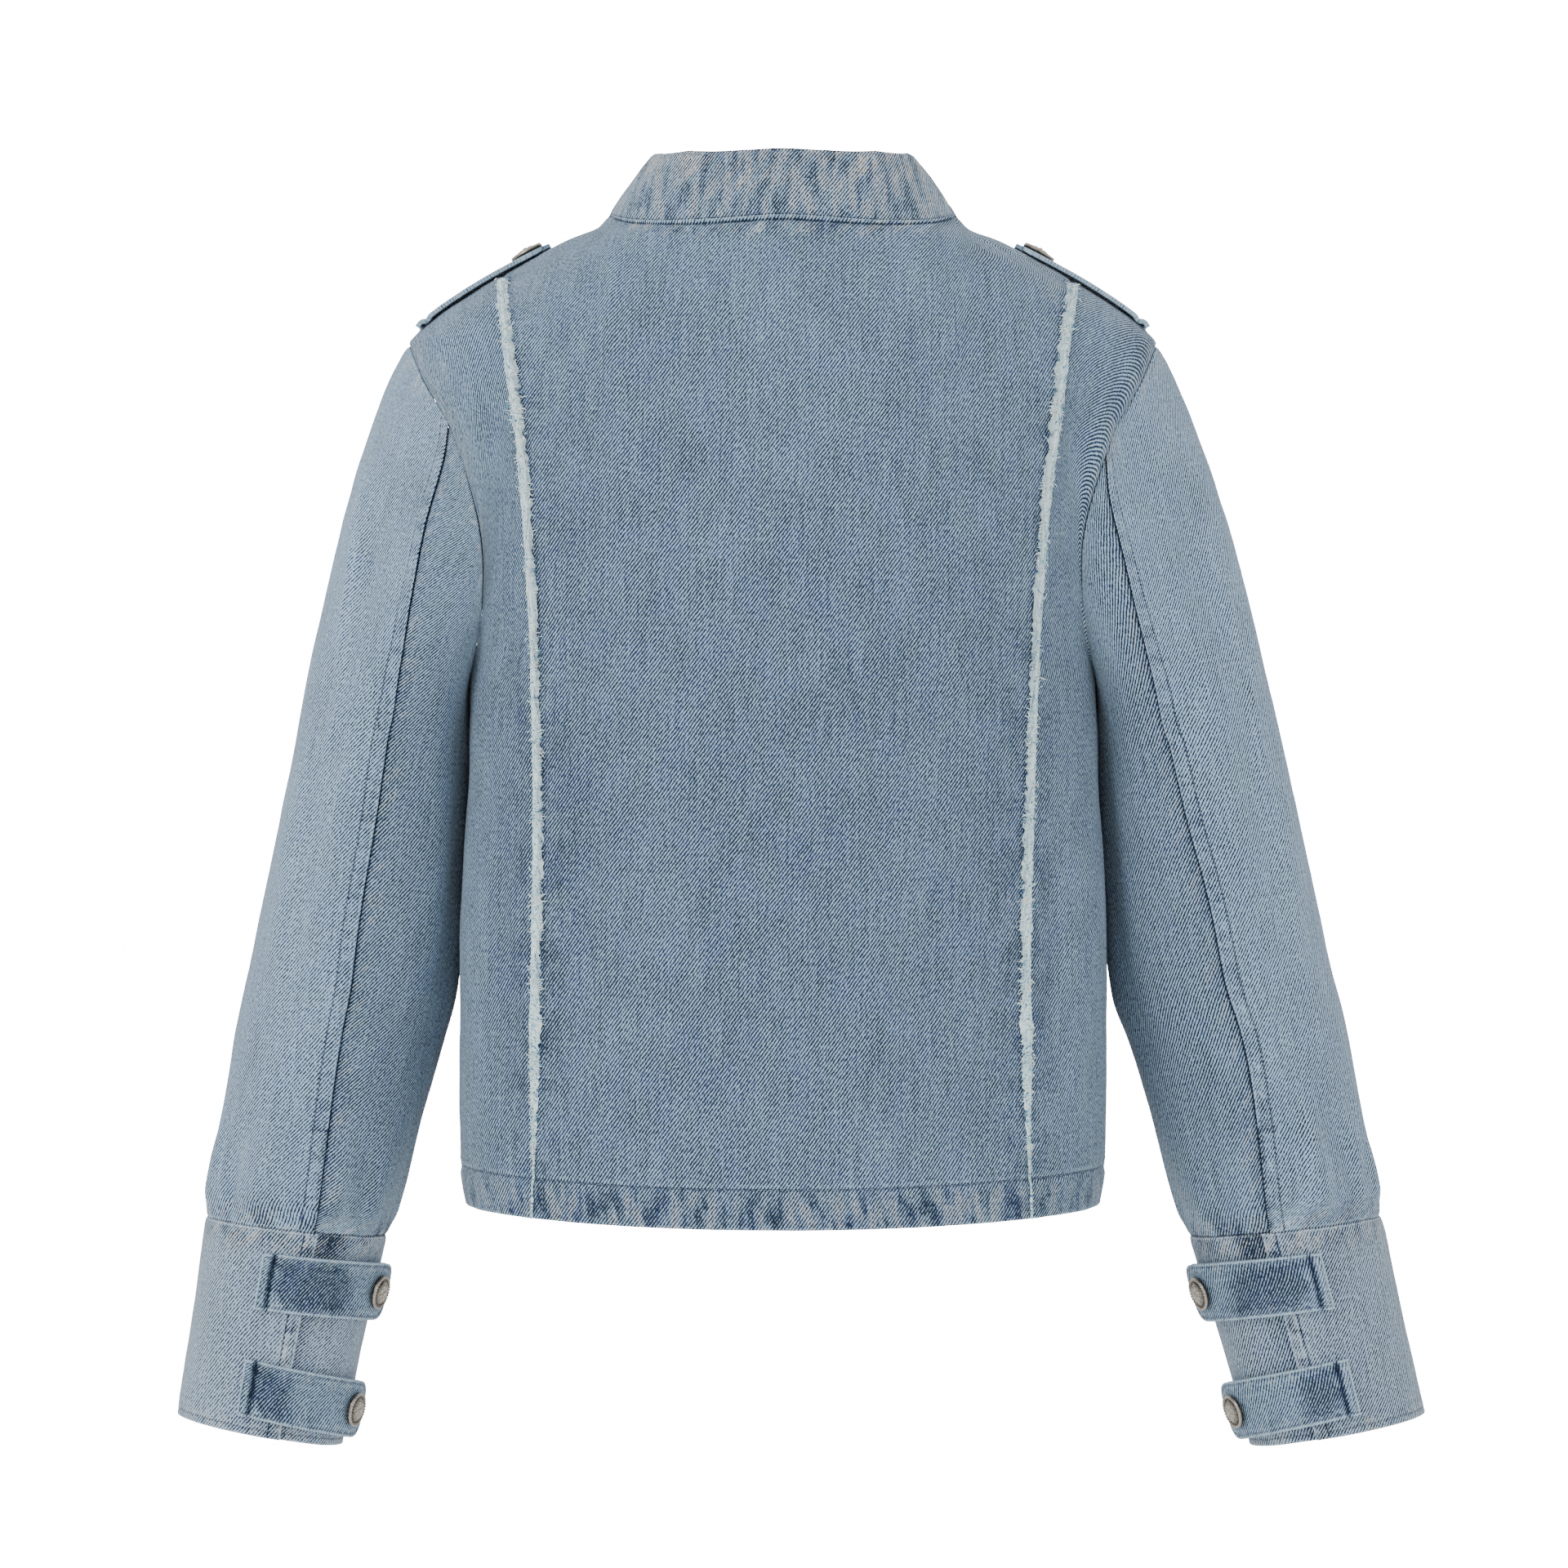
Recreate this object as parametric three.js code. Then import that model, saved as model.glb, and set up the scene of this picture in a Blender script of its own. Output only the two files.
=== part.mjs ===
// A cropped denim jacket with a stand collar, filled out as if worn, with nobody in it.
// Millimetres, +Z up. The origin is the centre of the neck opening, level with the shoulders' neck points.
// The wearer would face -Y, so the back with its two frayed seams faces +Y and the wearer's left is +X.
import * as THREE from "three";

// Driving sizes
const hemHeight = -545;
const armpitHeight = -255;
const shoulderHeight = -70;
const hemFoldTop = -523;
const cuffSeamHeight = -557;
const cuffEndHeight = -671;
const bicepHeight = -290;
const clothThick = 1.4;
const doubleThick = 2.4;
const seamGap = 0.2; // each of two sewn edges stands back this far from their seam
const layerGap = 0.35; // between a panel and what lies on it
const neckHalfWidth = 95;
const neckBackReach = 62;
const neckFrontReach = 78;
const neckSquare = 0.88;
const armhole = { back: { reach: 70, skew: 0.22 }, front: { reach: 61, skew: 0.16 } };
const armholeStep = Math.PI / 15;
const frontSleeveSeam = -9; // armhole steps from the shoulder point forward to the sleeve's front seam
const frontSeamEnd = -118; // degrees about the sleeve at which the front seam meets the cuff
const hemProud = 0.8; // how far the folded hem stands out
const collarHeight = 40;
const collarEndRound = 10;
const collarLean = { back: 20, front: 12, side: 35 };
const cuffProud = 0.4;
const strapWidth = 31;
const strapLength = 90;
const strapBend = 50; // from the wrist's middle to the strap, for turning its length into an angle
const strapTip = 15.5;
const strapGap = 0.6;
const strapBow = 4.6; // how far the buttoned tip stands off
const strapFold = { length: 5, thick: 1.1 };
const tab = { outer: 199.5, inner: 127, halfWidth: 21, tipHalfWidth: 9, forward: 2, droop: 0.5, lift: 0.5 };
const fray = { halfWidth: 2.2, thick: 1.5, foot: 0.3, topGap: 7, hemGap: 2.5 };
const band = { halfWidth: 16, proud: 0.4, topGap: 1.5, buttons: 6, firstButton: 22, lastButton: 44 };
const buttonRadius = 9.5;
const denimColour = 0x8299ae;
const shadeColour = 0x6f879f;
const rawEdgeColour = 0xd3dde2;
const metalColour = 0x8f8a80;

// Level sections of the body: half width at the side, depth to the back and front, squareness of outline
const torso = [
  { z: 4, half: 90, back: 58, front: 50, square: 2 },
  { z: 0, half: 96.5, back: 60, front: 52, square: 2 },
  { z: -6, half: 102.5, back: 63, front: 54.5, square: 2 },
  { z: -14, half: 121.5, back: 67, front: 57.5, square: 2 },
  { z: -21, half: 135, back: 70.5, front: 60.5, square: 2 },
  { z: -28, half: 148, back: 74, front: 63, square: 2 },
  { z: -37, half: 164, back: 78, front: 66.5, square: 2.02 },
  { z: -46, half: 178.5, back: 82, front: 70.5, square: 2.04 },
  { z: -54.5, half: 191, back: 85, front: 74, square: 2.06 },
  { z: -62, half: 200, back: 87.5, front: 77.5, square: 2.08 },
  { z: -70, half: 206, back: 90, front: 82, square: 2.1 },
  { z: -91, half: 208, back: 96, front: 92, square: 2.2 },
  { z: -120, half: 201, back: 102, front: 104, square: 2.3 },
  { z: -160, half: 194, back: 108, front: 119, square: 2.4 },
  { z: -200, half: 184.5, back: 112, front: 129, square: 2.5 },
  { z: -255, half: 171, back: 114, front: 134, square: 2.6 },
  { z: -300, half: 170.6, back: 114, front: 133, square: 2.6 },
  { z: -352, half: 173.6, back: 113, front: 130, square: 2.6 },
  { z: -420, half: 177.4, back: 113, front: 128, square: 2.6 },
  { z: -480, half: 178, back: 114, front: 127, square: 2.6 },
  { z: -510, half: 177.3, back: 114.5, front: 127, square: 2.6 },
  { z: -523, half: 176, back: 115, front: 127, square: 2.6 },
  { z: -548, half: 172, back: 113.5, front: 125, square: 2.6 },
];

// How far each frayed back seam runs from the centre back
const fraySeam = [
  { z: 0, left: 155, right: 161 },
  { z: -34, left: 153, right: 158.5 },
  { z: -80, left: 147, right: 150.8 },
  { z: -120, left: 141.5, right: 146.3 },
  { z: -160, left: 137.6, right: 141.4 },
  { z: -242, left: 132.6, right: 135 },
  { z: -330, left: 130.6, right: 131.4 },
  { z: -415, left: 131.5, right: 129.4 },
  { z: -548, left: 133, right: 132 },
];

// The back seam of each sleeve, in degrees about it from the outside towards the back.
// Here z is how far down the sleeve: 0 the armhole, -1 the bicep line and -2 the cuff seam.
const sleeveBackSeam = [
  { z: 0, left: 60, right: 72 },
  { z: -0.1, left: 65.5, right: 79 },
  { z: -0.3, left: 72, right: 87.5 },
  { z: -0.5, left: 82.5, right: 97 },
  { z: -0.7, left: 92.5, right: 104.5 },
  { z: -0.9, left: 98, right: 108.5 },
  { z: -1.1, left: 96.5, right: 103 },
  { z: -1.4, left: 93, right: 93 },
  { z: -1.6, left: 95.5, right: 92 },
  { z: -1.8, left: 100, right: 96 },
  { z: -2, left: 106, right: 103.5 },
];

// Sections of a sleeve below the armhole: centre, half width seen from behind, how far its plane climbs
// outwards, half depth and place from back to front
const sleeve = [
  { z: -290, left: 219.8, right: 223.4, wideLeft: 48.2, wideRight: 50.8, climb: 0.11, deep: 66, y: -6 },
  { z: -352, left: 227.8, right: 232.2, wideLeft: 52.8, wideRight: 56.2, climb: 0.12, deep: 62, y: -9 },
  { z: -420, left: 237.8, right: 242.8, wideLeft: 57.4, wideRight: 60.6, climb: 0.14, deep: 57, y: -15 },
  { z: -445, left: 244.4, right: 250.6, wideLeft: 56.6, wideRight: 59.4, climb: 0.15, deep: 55.5, y: -18 },
  { z: -480, left: 252.6, right: 259.9, wideLeft: 54.6, wideRight: 57.4, climb: 0.15, deep: 53, y: -21 },
  { z: -520, left: 261.8, right: 269.6, wideLeft: 52, wideRight: 54.6, climb: 0.14, deep: 50, y: -26 },
  { z: -557, left: 270.7, right: 279.5, wideLeft: 50, wideRight: 53, climb: 0.112, deep: 46.5, y: -30 },
  { z: -615, left: 282, right: 295, wideLeft: 47.2, wideRight: 50.6, climb: 0.15, deep: 44, y: -34 },
  { z: -671, left: 291.8, right: 309.6, wideLeft: 45.6, wideRight: 48.4, climb: 0.19, deep: 41.5, y: -37 },
];

// Soft folds of the body that run down the cloth: place, reach down it, half width and height above it
const bodyFolds = [
  { face: 1, x: 171, top: -232, bottom: -450, wide: 9, lift: 2.4 },
  { face: 1, x: -171, top: -232, bottom: -450, wide: 9, lift: 3.4 },
  { face: 1, x: 165, top: -72, bottom: -230, wide: 11, lift: 3 },
  { face: 1, x: 148, top: -110, bottom: -300, wide: 12, lift: -2.2 },
  { face: 1, x: -169, top: -66, bottom: -230, wide: 11, lift: 3.2 },
  { face: 1, x: -150, top: -100, bottom: -310, wide: 12, lift: -2.4 },
  { face: 1, x: 62, top: -330, bottom: -560, wide: 26, lift: 2.2 },
  { face: 1, x: -48, top: -300, bottom: -560, wide: 30, lift: 2.4 },
  { face: 1, x: 8, top: -380, bottom: -570, wide: 24, lift: -2 },
  { face: -1, x: 88, top: -190, bottom: -560, wide: 24, lift: 3.4 },
  { face: -1, x: -92, top: -200, bottom: -560, wide: 22, lift: 3.2 },
  { face: -1, x: 128, top: -230, bottom: -520, wide: 17, lift: -2.6 },
  { face: -1, x: -130, top: -220, bottom: -510, wide: 17, lift: -2.8 },
  { face: -1, x: 150, top: -95, bottom: -260, wide: 14, lift: 3 },
  { face: -1, x: -150, top: -95, bottom: -270, wide: 14, lift: 3 },
];

// Soft folds of a sleeve: turn about it from the outside towards the back, start and end down it, drift,
// width and height. Down a sleeve, 0 is the armhole, 1 the bicep line and 2 the cuff seam.
const sleeveFolds = [
  { turn: 24, from: 0.15, to: 1.5, drift: 10, wide: 15, lift: 2.6 },
  { turn: 52, from: 0.35, to: 1.7, drift: 6, wide: 11, lift: -1.8 },
  { turn: 128, from: 0.5, to: 1.6, drift: 14, wide: 14, lift: 2.4 },
  { turn: 160, from: 0.9, to: 1.8, drift: -12, wide: 12, lift: -2.2 },
  { turn: -40, from: 0.3, to: 1.5, drift: -8, wide: 15, lift: 2.4 },
  { turn: -95, from: 0.8, to: 1.75, drift: 16, wide: 12, lift: -2.4 },
  { turn: -70, from: 1.1, to: 1.9, drift: -14, wide: 12, lift: 2.2 },
];

// Gathers where a sleeve runs into its cuff
const cuffGathers = [
  { turn: 22, wide: 7, lift: 3.2 },
  { turn: 46, wide: 6, lift: -2.4 },
  { turn: 66, wide: 7, lift: 3 },
  { turn: 142, wide: 8, lift: 2.2 },
  { turn: 168, wide: 8, lift: -1.8 },
  { turn: -30, wide: 8, lift: 2 },
  { turn: -62, wide: 8, lift: -2 },
  { turn: -96, wide: 9, lift: 2 },
];

// The two straps of a cuff: their top edge below the cuff seam, and how far their tip is set lower
const cuffStraps = [
  { name: "upper", below: 13, drop: 0 },
  { name: "lower", below: 72, drop: 6 },
];

const degree = Math.PI / 180;
const mix = (a, b, share) => a + (b - a) * share;
const clamp = (value, low, high) => Math.min(high, Math.max(low, value));
const smoothStep = (low, high, value) => {
  const share = clamp((value - low) / (high - low), 0, 1);
  return share * share * (3 - 2 * share);
};
const bell = (distance, width) => Math.exp(-((distance / width) ** 2));
const point = (x, y, z) => new THREE.Vector3(x, y, z);

const spread = (share, power) => Math.sign(share) * Math.abs(share) ** power;

// Reads a column of a table at a height, on a smooth curve that never overshoots its rows
function read(table, column, height) {
  const z = clamp(height, table[table.length - 1].z, table[0].z);
  let row = 0;
  while (row < table.length - 2 && z < table[row + 1].z) row += 1;
  const rise = (i) => (table[i + 1][column] - table[i][column]) / (table[i + 1].z - table[i].z);
  const slope = (i) => {
    if (i === 0) return rise(0);
    if (i === table.length - 1) return rise(i - 1);
    const before = rise(i - 1);
    const after = rise(i);
    return before * after <= 0 ? 0 : (2 * before * after) / (before + after);
  };
  const span = table[row + 1].z - table[row].z;
  const s = (z - table[row].z) / span;
  return (
    (1 + 2 * s) * (1 - s) ** 2 * table[row][column] +
    s * (1 - s) ** 2 * span * slope(row) +
    s * s * (3 - 2 * s) * table[row + 1][column] +
    s * s * (s - 1) * span * slope(row + 1)
  );
}

// Outward normal of a surface given as a function of two parameters, facing away from a point inside
function normalOf(surface, a, b, stepA, stepB, inside) {
  const alongA = surface(a + stepA, b).sub(surface(a - stepA, b));
  const alongB = surface(a, b + stepB).sub(surface(a, b - stepB));
  const normal = alongA.cross(alongB).normalize();
  return normal.dot(surface(a, b).sub(inside)) < 0 ? normal.negate() : normal;
}

// The body. An angle of 0 is the centre back, 90 degrees the wearer's left side and 180 the centre front.
function plainTorso(angle, z) {
  const power = 2 / read(torso, "square", z);
  const deep = read(torso, Math.cos(angle) >= 0 ? "back" : "front", z) * spread(Math.cos(angle), power);
  return point(read(torso, "half", z) * spread(Math.sin(angle), power), deep, z);
}

function torsoNormal(angle, z) {
  return normalOf(plainTorso, angle, z, 0.02, 0.8, point(0, 0, z - 60));
}

function torsoCloth(angle, z) {
  const base = plainTorso(angle, z);
  let lift = 0;
  for (const fold of bodyFolds) {
    if (fold.face * base.y <= 0) continue;
    const started = smoothStep(fold.bottom, fold.bottom + 70, z);
    const reach = started * (1 - smoothStep(fold.top - 60, fold.top, z));
    lift += fold.lift * reach * bell(base.x - fold.x, fold.wide) * clamp(Math.abs(base.y) / 30, 0, 1);
  }
  return base.addScaledVector(torsoNormal(angle, z), lift);
}

// The angle at which the body is a given distance from the centre line, on its back or front
function angleAcross(x, z) {
  const share = clamp(Math.abs(x) / read(torso, "half", z), 0, 1);
  return Math.sign(x) * Math.asin(share ** (read(torso, "square", z) / 2));
}

// The angle and height of the top of the body above a point in plan
function overPlan(x, y) {
  const deepColumn = y >= 0 ? "back" : "front";
  let low = -150;
  let high = 4;
  for (let round = 0; round < 40; round += 1) {
    const z = (low + high) / 2;
    const n = read(torso, "square", z);
    const outside =
      (Math.abs(x) / read(torso, "half", z)) ** n + (Math.abs(y) / read(torso, deepColumn, z)) ** n > 1;
    if (outside) high = z;
    else low = z;
  }
  const n = read(torso, "square", low);
  const across = (Math.abs(x) / read(torso, "half", low)) ** (n / 2);
  const along = (Math.abs(y) / read(torso, deepColumn, low)) ** (n / 2);
  return { angle: Math.atan2(across * Math.sign(x || 1), along * Math.sign(y || 1)), z: low };
}

// The neck opening as an oval in plan. A turn of 0 is the centre back.
function neckPlan(turn) {
  const reach = Math.cos(turn) >= 0 ? neckBackReach : neckFrontReach;
  const x = neckHalfWidth * spread(Math.sin(turn), neckSquare);
  return { x, y: reach * spread(Math.cos(turn), neckSquare) };
}

function neckLine(turn) {
  const plan = neckPlan(turn);
  return overPlan(plan.x, plan.y);
}

// The armhole of the wearer's left side. A turn of 0 is the shoulder point, 90 degrees the back and 180
// the armpit.
function armholeEdge(turn, face) {
  const middle = (shoulderHeight + armpitHeight) / 2;
  const z = middle + (shoulderHeight - middle) * Math.cos(turn);
  const half = face > 0 ? "back" : "front";
  const reach = armhole[half].reach * Math.sin(turn - armhole[half].skew * Math.sin(turn));
  const deep = read(torso, half, z);
  const fromCentre = Math.acos(clamp(reach / deep, 0, 1) ** (read(torso, "square", z) / 2));
  return { angle: face > 0 ? fromCentre : Math.PI - fromCentre, z };
}

function armholePoint(turn, side) {
  const whole = Math.atan2(Math.sin(turn), Math.cos(turn));
  const edge = armholeEdge(Math.abs(whole), whole >= 0 ? 1 : -1);
  const found = torsoCloth(side === "left" ? edge.angle : -edge.angle, edge.z);
  return found.setX(Math.abs(found.x));
}

// Where a frayed seam meets the shoulder line
const frayTop = Object.fromEntries(
  ["left", "right"].map((side) => {
    let z = 0;
    while (read(torso, "half", z) < read(fraySeam, side, z)) z -= 0.05;
    return [side, z];
  }),
);

function frayEdge(v, side) {
  const z = seamHeight(v, frayTop[side]);
  const x = read(fraySeam, side, z);
  return { angle: angleAcross(x, z), z, x };
}

// Heights down a panel. Share 0 is the hem, the armpit is at half, and 1 is the top, where rows are close.
const armpitShare = 0.5;
function seamHeight(v, top) {
  if (v <= armpitShare) return mix(hemHeight, armpitHeight, v / armpitShare);
  const left = (1 - v) / (1 - armpitShare);
  return mix(top, armpitHeight, left ** 1.7);
}

function armEdge(v, face) {
  if (v <= armpitShare) return { angle: 90 * degree, z: seamHeight(v, 0) };
  return armholeEdge(Math.PI * ((1 - v) / (1 - armpitShare)), face);
}

// Fills a four-sided panel between its edges. The top edge bends the rows of the upper half only.
function fillPanel(edges, keys) {
  return (u, v) => {
    const top = smoothStep(armpitShare * 0.7, 1, v);
    const found = {};
    for (const key of keys) {
      const corners = mix(
        mix(edges.bottom(0)[key], edges.bottom(1)[key], u),
        mix(edges.top(0)[key], edges.top(1)[key], u),
        top,
      );
      const upwards = mix(edges.bottom(u)[key], edges.top(u)[key], top);
      found[key] = upwards + mix(edges.left(v)[key], edges.right(v)[key], u) - corners;
    }
    return found;
  };
}

// Shares at which the panels have rows: the hem fold, even steps to the armpit, one for each armhole step
const hemShare = (z) => (armpitShare * (z - hemHeight)) / (armpitHeight - hemHeight);
const panelRows = [
  0,
  hemShare(hemFoldTop - 1.5),
  hemShare(hemFoldTop + 1.5),
  ...[-497, -466, -435, -404, -373, -343, -313, -284].map(hemShare),
  ...Array.from({ length: 16 }, (_, i) => armpitShare + ((1 - armpitShare) * i) / 15),
];
const evenly = (count) => Array.from({ length: count + 1 }, (_, i) => i / count);

// A closed wall over a grid of outer and inner points, wound so that its volume is positive
function wallGeometry(outer, inner) {
  const rows = outer.length;
  const columns = outer[0].length;
  const corners = [...outer.flat(), ...inner.flat()];
  const index = [];
  const at = (layer, row, column) => layer * rows * columns + row * columns + column;
  const quad = (a, b, c, d) => index.push(a, b, c, a, c, d);
  const end = columns - 1;
  for (let r = 0; r < rows - 1; r += 1) {
    for (let c = 0; c < end; c += 1) {
      quad(at(0, r, c), at(0, r, c + 1), at(0, r + 1, c + 1), at(0, r + 1, c));
      quad(at(1, r, c), at(1, r + 1, c), at(1, r + 1, c + 1), at(1, r, c + 1));
    }
    quad(at(0, r, 0), at(0, r + 1, 0), at(1, r + 1, 0), at(1, r, 0));
    quad(at(0, r, end), at(1, r, end), at(1, r + 1, end), at(0, r + 1, end));
  }
  for (let c = 0; c < end; c += 1) {
    quad(at(0, 0, c), at(1, 0, c), at(1, 0, c + 1), at(0, 0, c + 1));
    quad(at(0, rows - 1, c), at(0, rows - 1, c + 1), at(1, rows - 1, c + 1), at(1, rows - 1, c));
  }
  let volume = 0;
  for (let i = 0; i < index.length; i += 3) {
    const [a, b, c] = [corners[index[i]], corners[index[i + 1]], corners[index[i + 2]]];
    volume += a.dot(b.clone().cross(c));
  }
  if (volume < 0) index.reverse();
  const numbers = corners.flatMap((corner) => corner.toArray());
  const geometry = new THREE.BufferGeometry();
  geometry.setAttribute("position", new THREE.Float32BufferAttribute(numbers, 3));
  geometry.setIndex(index);
  geometry.computeVertexNormals();
  return geometry;
}

// A panel of cloth. place(u, v) gives a point and how far its inner face lies behind it, as a vector.
// Sewn edges stand back from their seam along the cloth.
function clothPanel(columns, rows, place) {
  const spots = rows.map((v) => columns.map((u) => place(u, v)));
  const outer = spots.map((line) => line.map((spot) => spot.at.clone()));
  const inner = spots.map((line) => line.map((spot) => spot.at.clone().add(spot.back)));
  const last = rows.length - 1;
  const end = columns.length - 1;
  const inwards = (row, column, nextRow, nextColumn) =>
    outer[nextRow][nextColumn].clone().sub(outer[row][column]).setLength(seamGap);
  const shifts = [];
  for (let row = 0; row <= last; row += 1) {
    shifts.push([row, 0, inwards(row, 0, row, 1)]);
    shifts.push([row, end, inwards(row, end, row, end - 1)]);
  }
  for (let column = 0; column <= end; column += 1) {
    shifts.push([0, column, inwards(0, column, 1, column)]);
    shifts.push([last, column, inwards(last, column, last - 1, column)]);
  }
  for (const [row, column, shift] of shifts) {
    outer[row][column].add(shift);
    inner[row][column].add(shift);
  }
  return wallGeometry(outer, inner);
}

// The hem hangs lower at the centre than at the sides
function hemmed(angle, z) {
  if (z >= hemFoldTop) return z;
  const across = Math.abs(spread(Math.sin(angle), 2 / read(torso, "square", z)));
  const edge = hemHeight - 2.6 + 7 * across ** 1.8;
  return mix(hemFoldTop, edge, (z - hemFoldTop) / (hemHeight - hemFoldTop));
}

// A point of the body's cloth with its wall behind it. The folded hem stands a little proud.
function bodySpot(angle, height) {
  const z = hemmed(angle, height);
  const normal = torsoNormal(angle, z);
  const proud = z < hemFoldTop ? hemProud : 0;
  return {
    at: torsoCloth(angle, z).addScaledVector(normal, proud),
    back: normal.multiplyScalar(-(clothThick + proud)),
  };
}

// At the armhole the walls of the body and the sleeve are cut to one mitre wherever the seam is a ridge
function armholeMitre(turn, side) {
  const whole = Math.atan2(Math.sin(turn), Math.cos(turn));
  const edge = armholeEdge(Math.abs(whole), whole >= 0 ? 1 : -1);
  const body = torsoNormal(edge.angle, edge.z);
  const arm = sleeveNormal(turn, 0.02, side);
  const ridge = smoothStep(0.05, -0.1, body.dot(headStart(turn)));
  const mitred = (own, other) => {
    const direction = own.clone().addScaledVector(other, ridge).normalize();
    return direction.multiplyScalar(-clothThick / Math.max(0.5, direction.dot(own)));
  };
  return { body: mitred(body, arm), arm: mitred(arm, body) };
}

// The direction in which the sleeve leaves the armhole
function headStart(turn) {
  const top = (1 + Math.cos(turn)) / 2;
  return point(mix(0.3, 0.68, top), 0, -1).normalize();
}

// The sleeve tube below the bicep line, on the wearer's left. A turn of 0 is outside, 90 degrees behind.
function sleeveRing(turn, z, side) {
  const wide = read(sleeve, side === "left" ? "wideLeft" : "wideRight", z) * Math.cos(turn);
  const climb = read(sleeve, "climb", z) * wide;
  const behind = read(sleeve, "deep", z) * Math.sin(turn);
  return point(read(sleeve, side, z) + wide, read(sleeve, "y", z) + behind, z + climb + 0.02 * behind);
}

// A point of the sleeve before its folds: t runs 0 to 1 over the head and 1 to 2 down to the cuff seam
function plainSleeve(turn, t, side) {
  if (t >= 1) return sleeveRing(turn, mix(bicepHeight, cuffSeamHeight, t - 1), side);
  const start = armholePoint(turn, side);
  const end = sleeveRing(turn, bicepHeight, side);
  const span = start.distanceTo(end);
  const endAlong = sleeveRing(turn, bicepHeight - 4, side).sub(end).normalize().multiplyScalar(span);
  const startAlong = headStart(turn).multiplyScalar(0.6 * span);
  return start
    .multiplyScalar((1 + 2 * t) * (1 - t) ** 2)
    .addScaledVector(startAlong, t * (1 - t) ** 2)
    .addScaledVector(end, t * t * (3 - 2 * t))
    .addScaledVector(endAlong, t * t * (t - 1));
}

const sleeveCentre = (z, side) => point(read(sleeve, side, z), read(sleeve, "y", z), z);

function headCentre(t, side) {
  const quarters = [0, 90, 180, 270].map((turn) => plainSleeve(turn * degree, t, side));
  return quarters.reduce((sum, each) => sum.add(each), point(0, 0, 0)).multiplyScalar(0.25);
}

function sleeveNormal(turn, t, side) {
  const inside = t > 1 ? sleeveCentre(mix(bicepHeight, cuffSeamHeight, t - 1), side) : headCentre(t, side);
  return normalOf((a, b) => plainSleeve(a, b, side), turn, clamp(t, 0.02, 1.98), 0.03, 0.015, inside);
}

function turnBetween(a, b) {
  const gap = ((a - b) % 360) + 540;
  return (gap % 360) - 180;
}

function sleeveLift(turn, t) {
  const degrees = turn / degree;
  let lift = 0;
  for (const fold of sleeveFolds) {
    const reach = smoothStep(fold.from, fold.from + 0.3, t) * (1 - smoothStep(fold.to - 0.35, fold.to, t));
    const middle = fold.turn + fold.drift * (t - fold.from);
    lift += fold.lift * reach * bell(turnBetween(degrees, middle), fold.wide);
  }
  const gathered = smoothStep(1.68, 1.92, t) * (1 - 0.75 * smoothStep(1.93, 2, t));
  for (const gather of cuffGathers) {
    lift += gather.lift * gathered * bell(turnBetween(degrees, gather.turn), gather.wide);
  }
  const blouse = 2.6 * smoothStep(1.7, 1.93, t) * (1 - smoothStep(1.94, 2, t));
  return lift + blouse;
}

function sleeveSpot(turn, t, side) {
  const normal = sleeveNormal(turn, t, side);
  const at = plainSleeve(turn, t, side).addScaledVector(normal, t === 0 ? 0 : sleeveLift(turn, t));
  return { at, back: t === 0 ? armholeMitre(turn, side).arm : normal.multiplyScalar(-clothThick) };
}

const backSeamTurn = (t, side) => read(sleeveBackSeam, side, -t) * degree;
const frontSeamTurn = (t) => mix(frontSleeveSeam * armholeStep, frontSeamEnd * degree, smoothStep(0, 2, t));
const sleeveRows = [
  ...[0, 0.1, 0.22, 0.36, 0.52, 0.68, 0.84],
  ...[1, 1.14, 1.28, 1.42, 1.55, 1.66, 1.76, 1.84, 1.9, 1.95, 2],
];

// The cuff is one strip wound round the wrist, whose far end passes under its near end
const cuffOpening = 109 * degree;
const cuffOverlap = 26 * degree;
function cuffSpot(wound, down, side) {
  const turn = cuffOpening - wound;
  const z = mix(cuffSeamHeight, cuffEndHeight, down);
  const normal = normalOf((a, b) => sleeveRing(a, b, side), turn, z, 0.05, 1, sleeveCentre(z, side));
  const under = smoothStep(2 * Math.PI - 0.65, 2 * Math.PI - 0.12, wound);
  const proud = cuffProud - under * (doubleThick + layerGap);
  const at = sleeveRing(turn, z, side).addScaledVector(normal, proud);
  return { at, back: normal.clone().multiplyScalar(-doubleThick), normal };
}

// A strap lies on the cuff from its sewn end outside to its buttoned tip inside, which stands off the cuff.
const strapStart = 78 * degree;
function strapSpot(along, across, strap, side) {
  const reached = along * strapLength;
  const turn = strapStart + reached / strapBend;
  const intoTip = clamp(1 - (strapLength - reached) / strapTip, 0, 1);
  const narrowing = Math.sqrt(Math.max(0.05, 1 - intoTip ** 2));
  const offCentre = (across - 0.5) * strapWidth * narrowing;
  const cuffDeep = cuffSeamHeight - cuffEndHeight;
  const down = (strap.below + strapWidth / 2 + strap.drop * along + offCentre) / cuffDeep;
  const spot = cuffSpot(cuffOpening - turn, down, side);
  const bowed = strapBow * smoothStep(0.45, 1, along);
  const foldedEnd = reached < strapFold.length ? strapFold.thick : 0;
  const height = strapGap + doubleThick + bowed;
  return {
    at: spot.at.addScaledVector(spot.normal, height + foldedEnd),
    back: spot.normal.clone().multiplyScalar(-(doubleThick + foldedEnd)),
    normal: spot.normal,
  };
}

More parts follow.
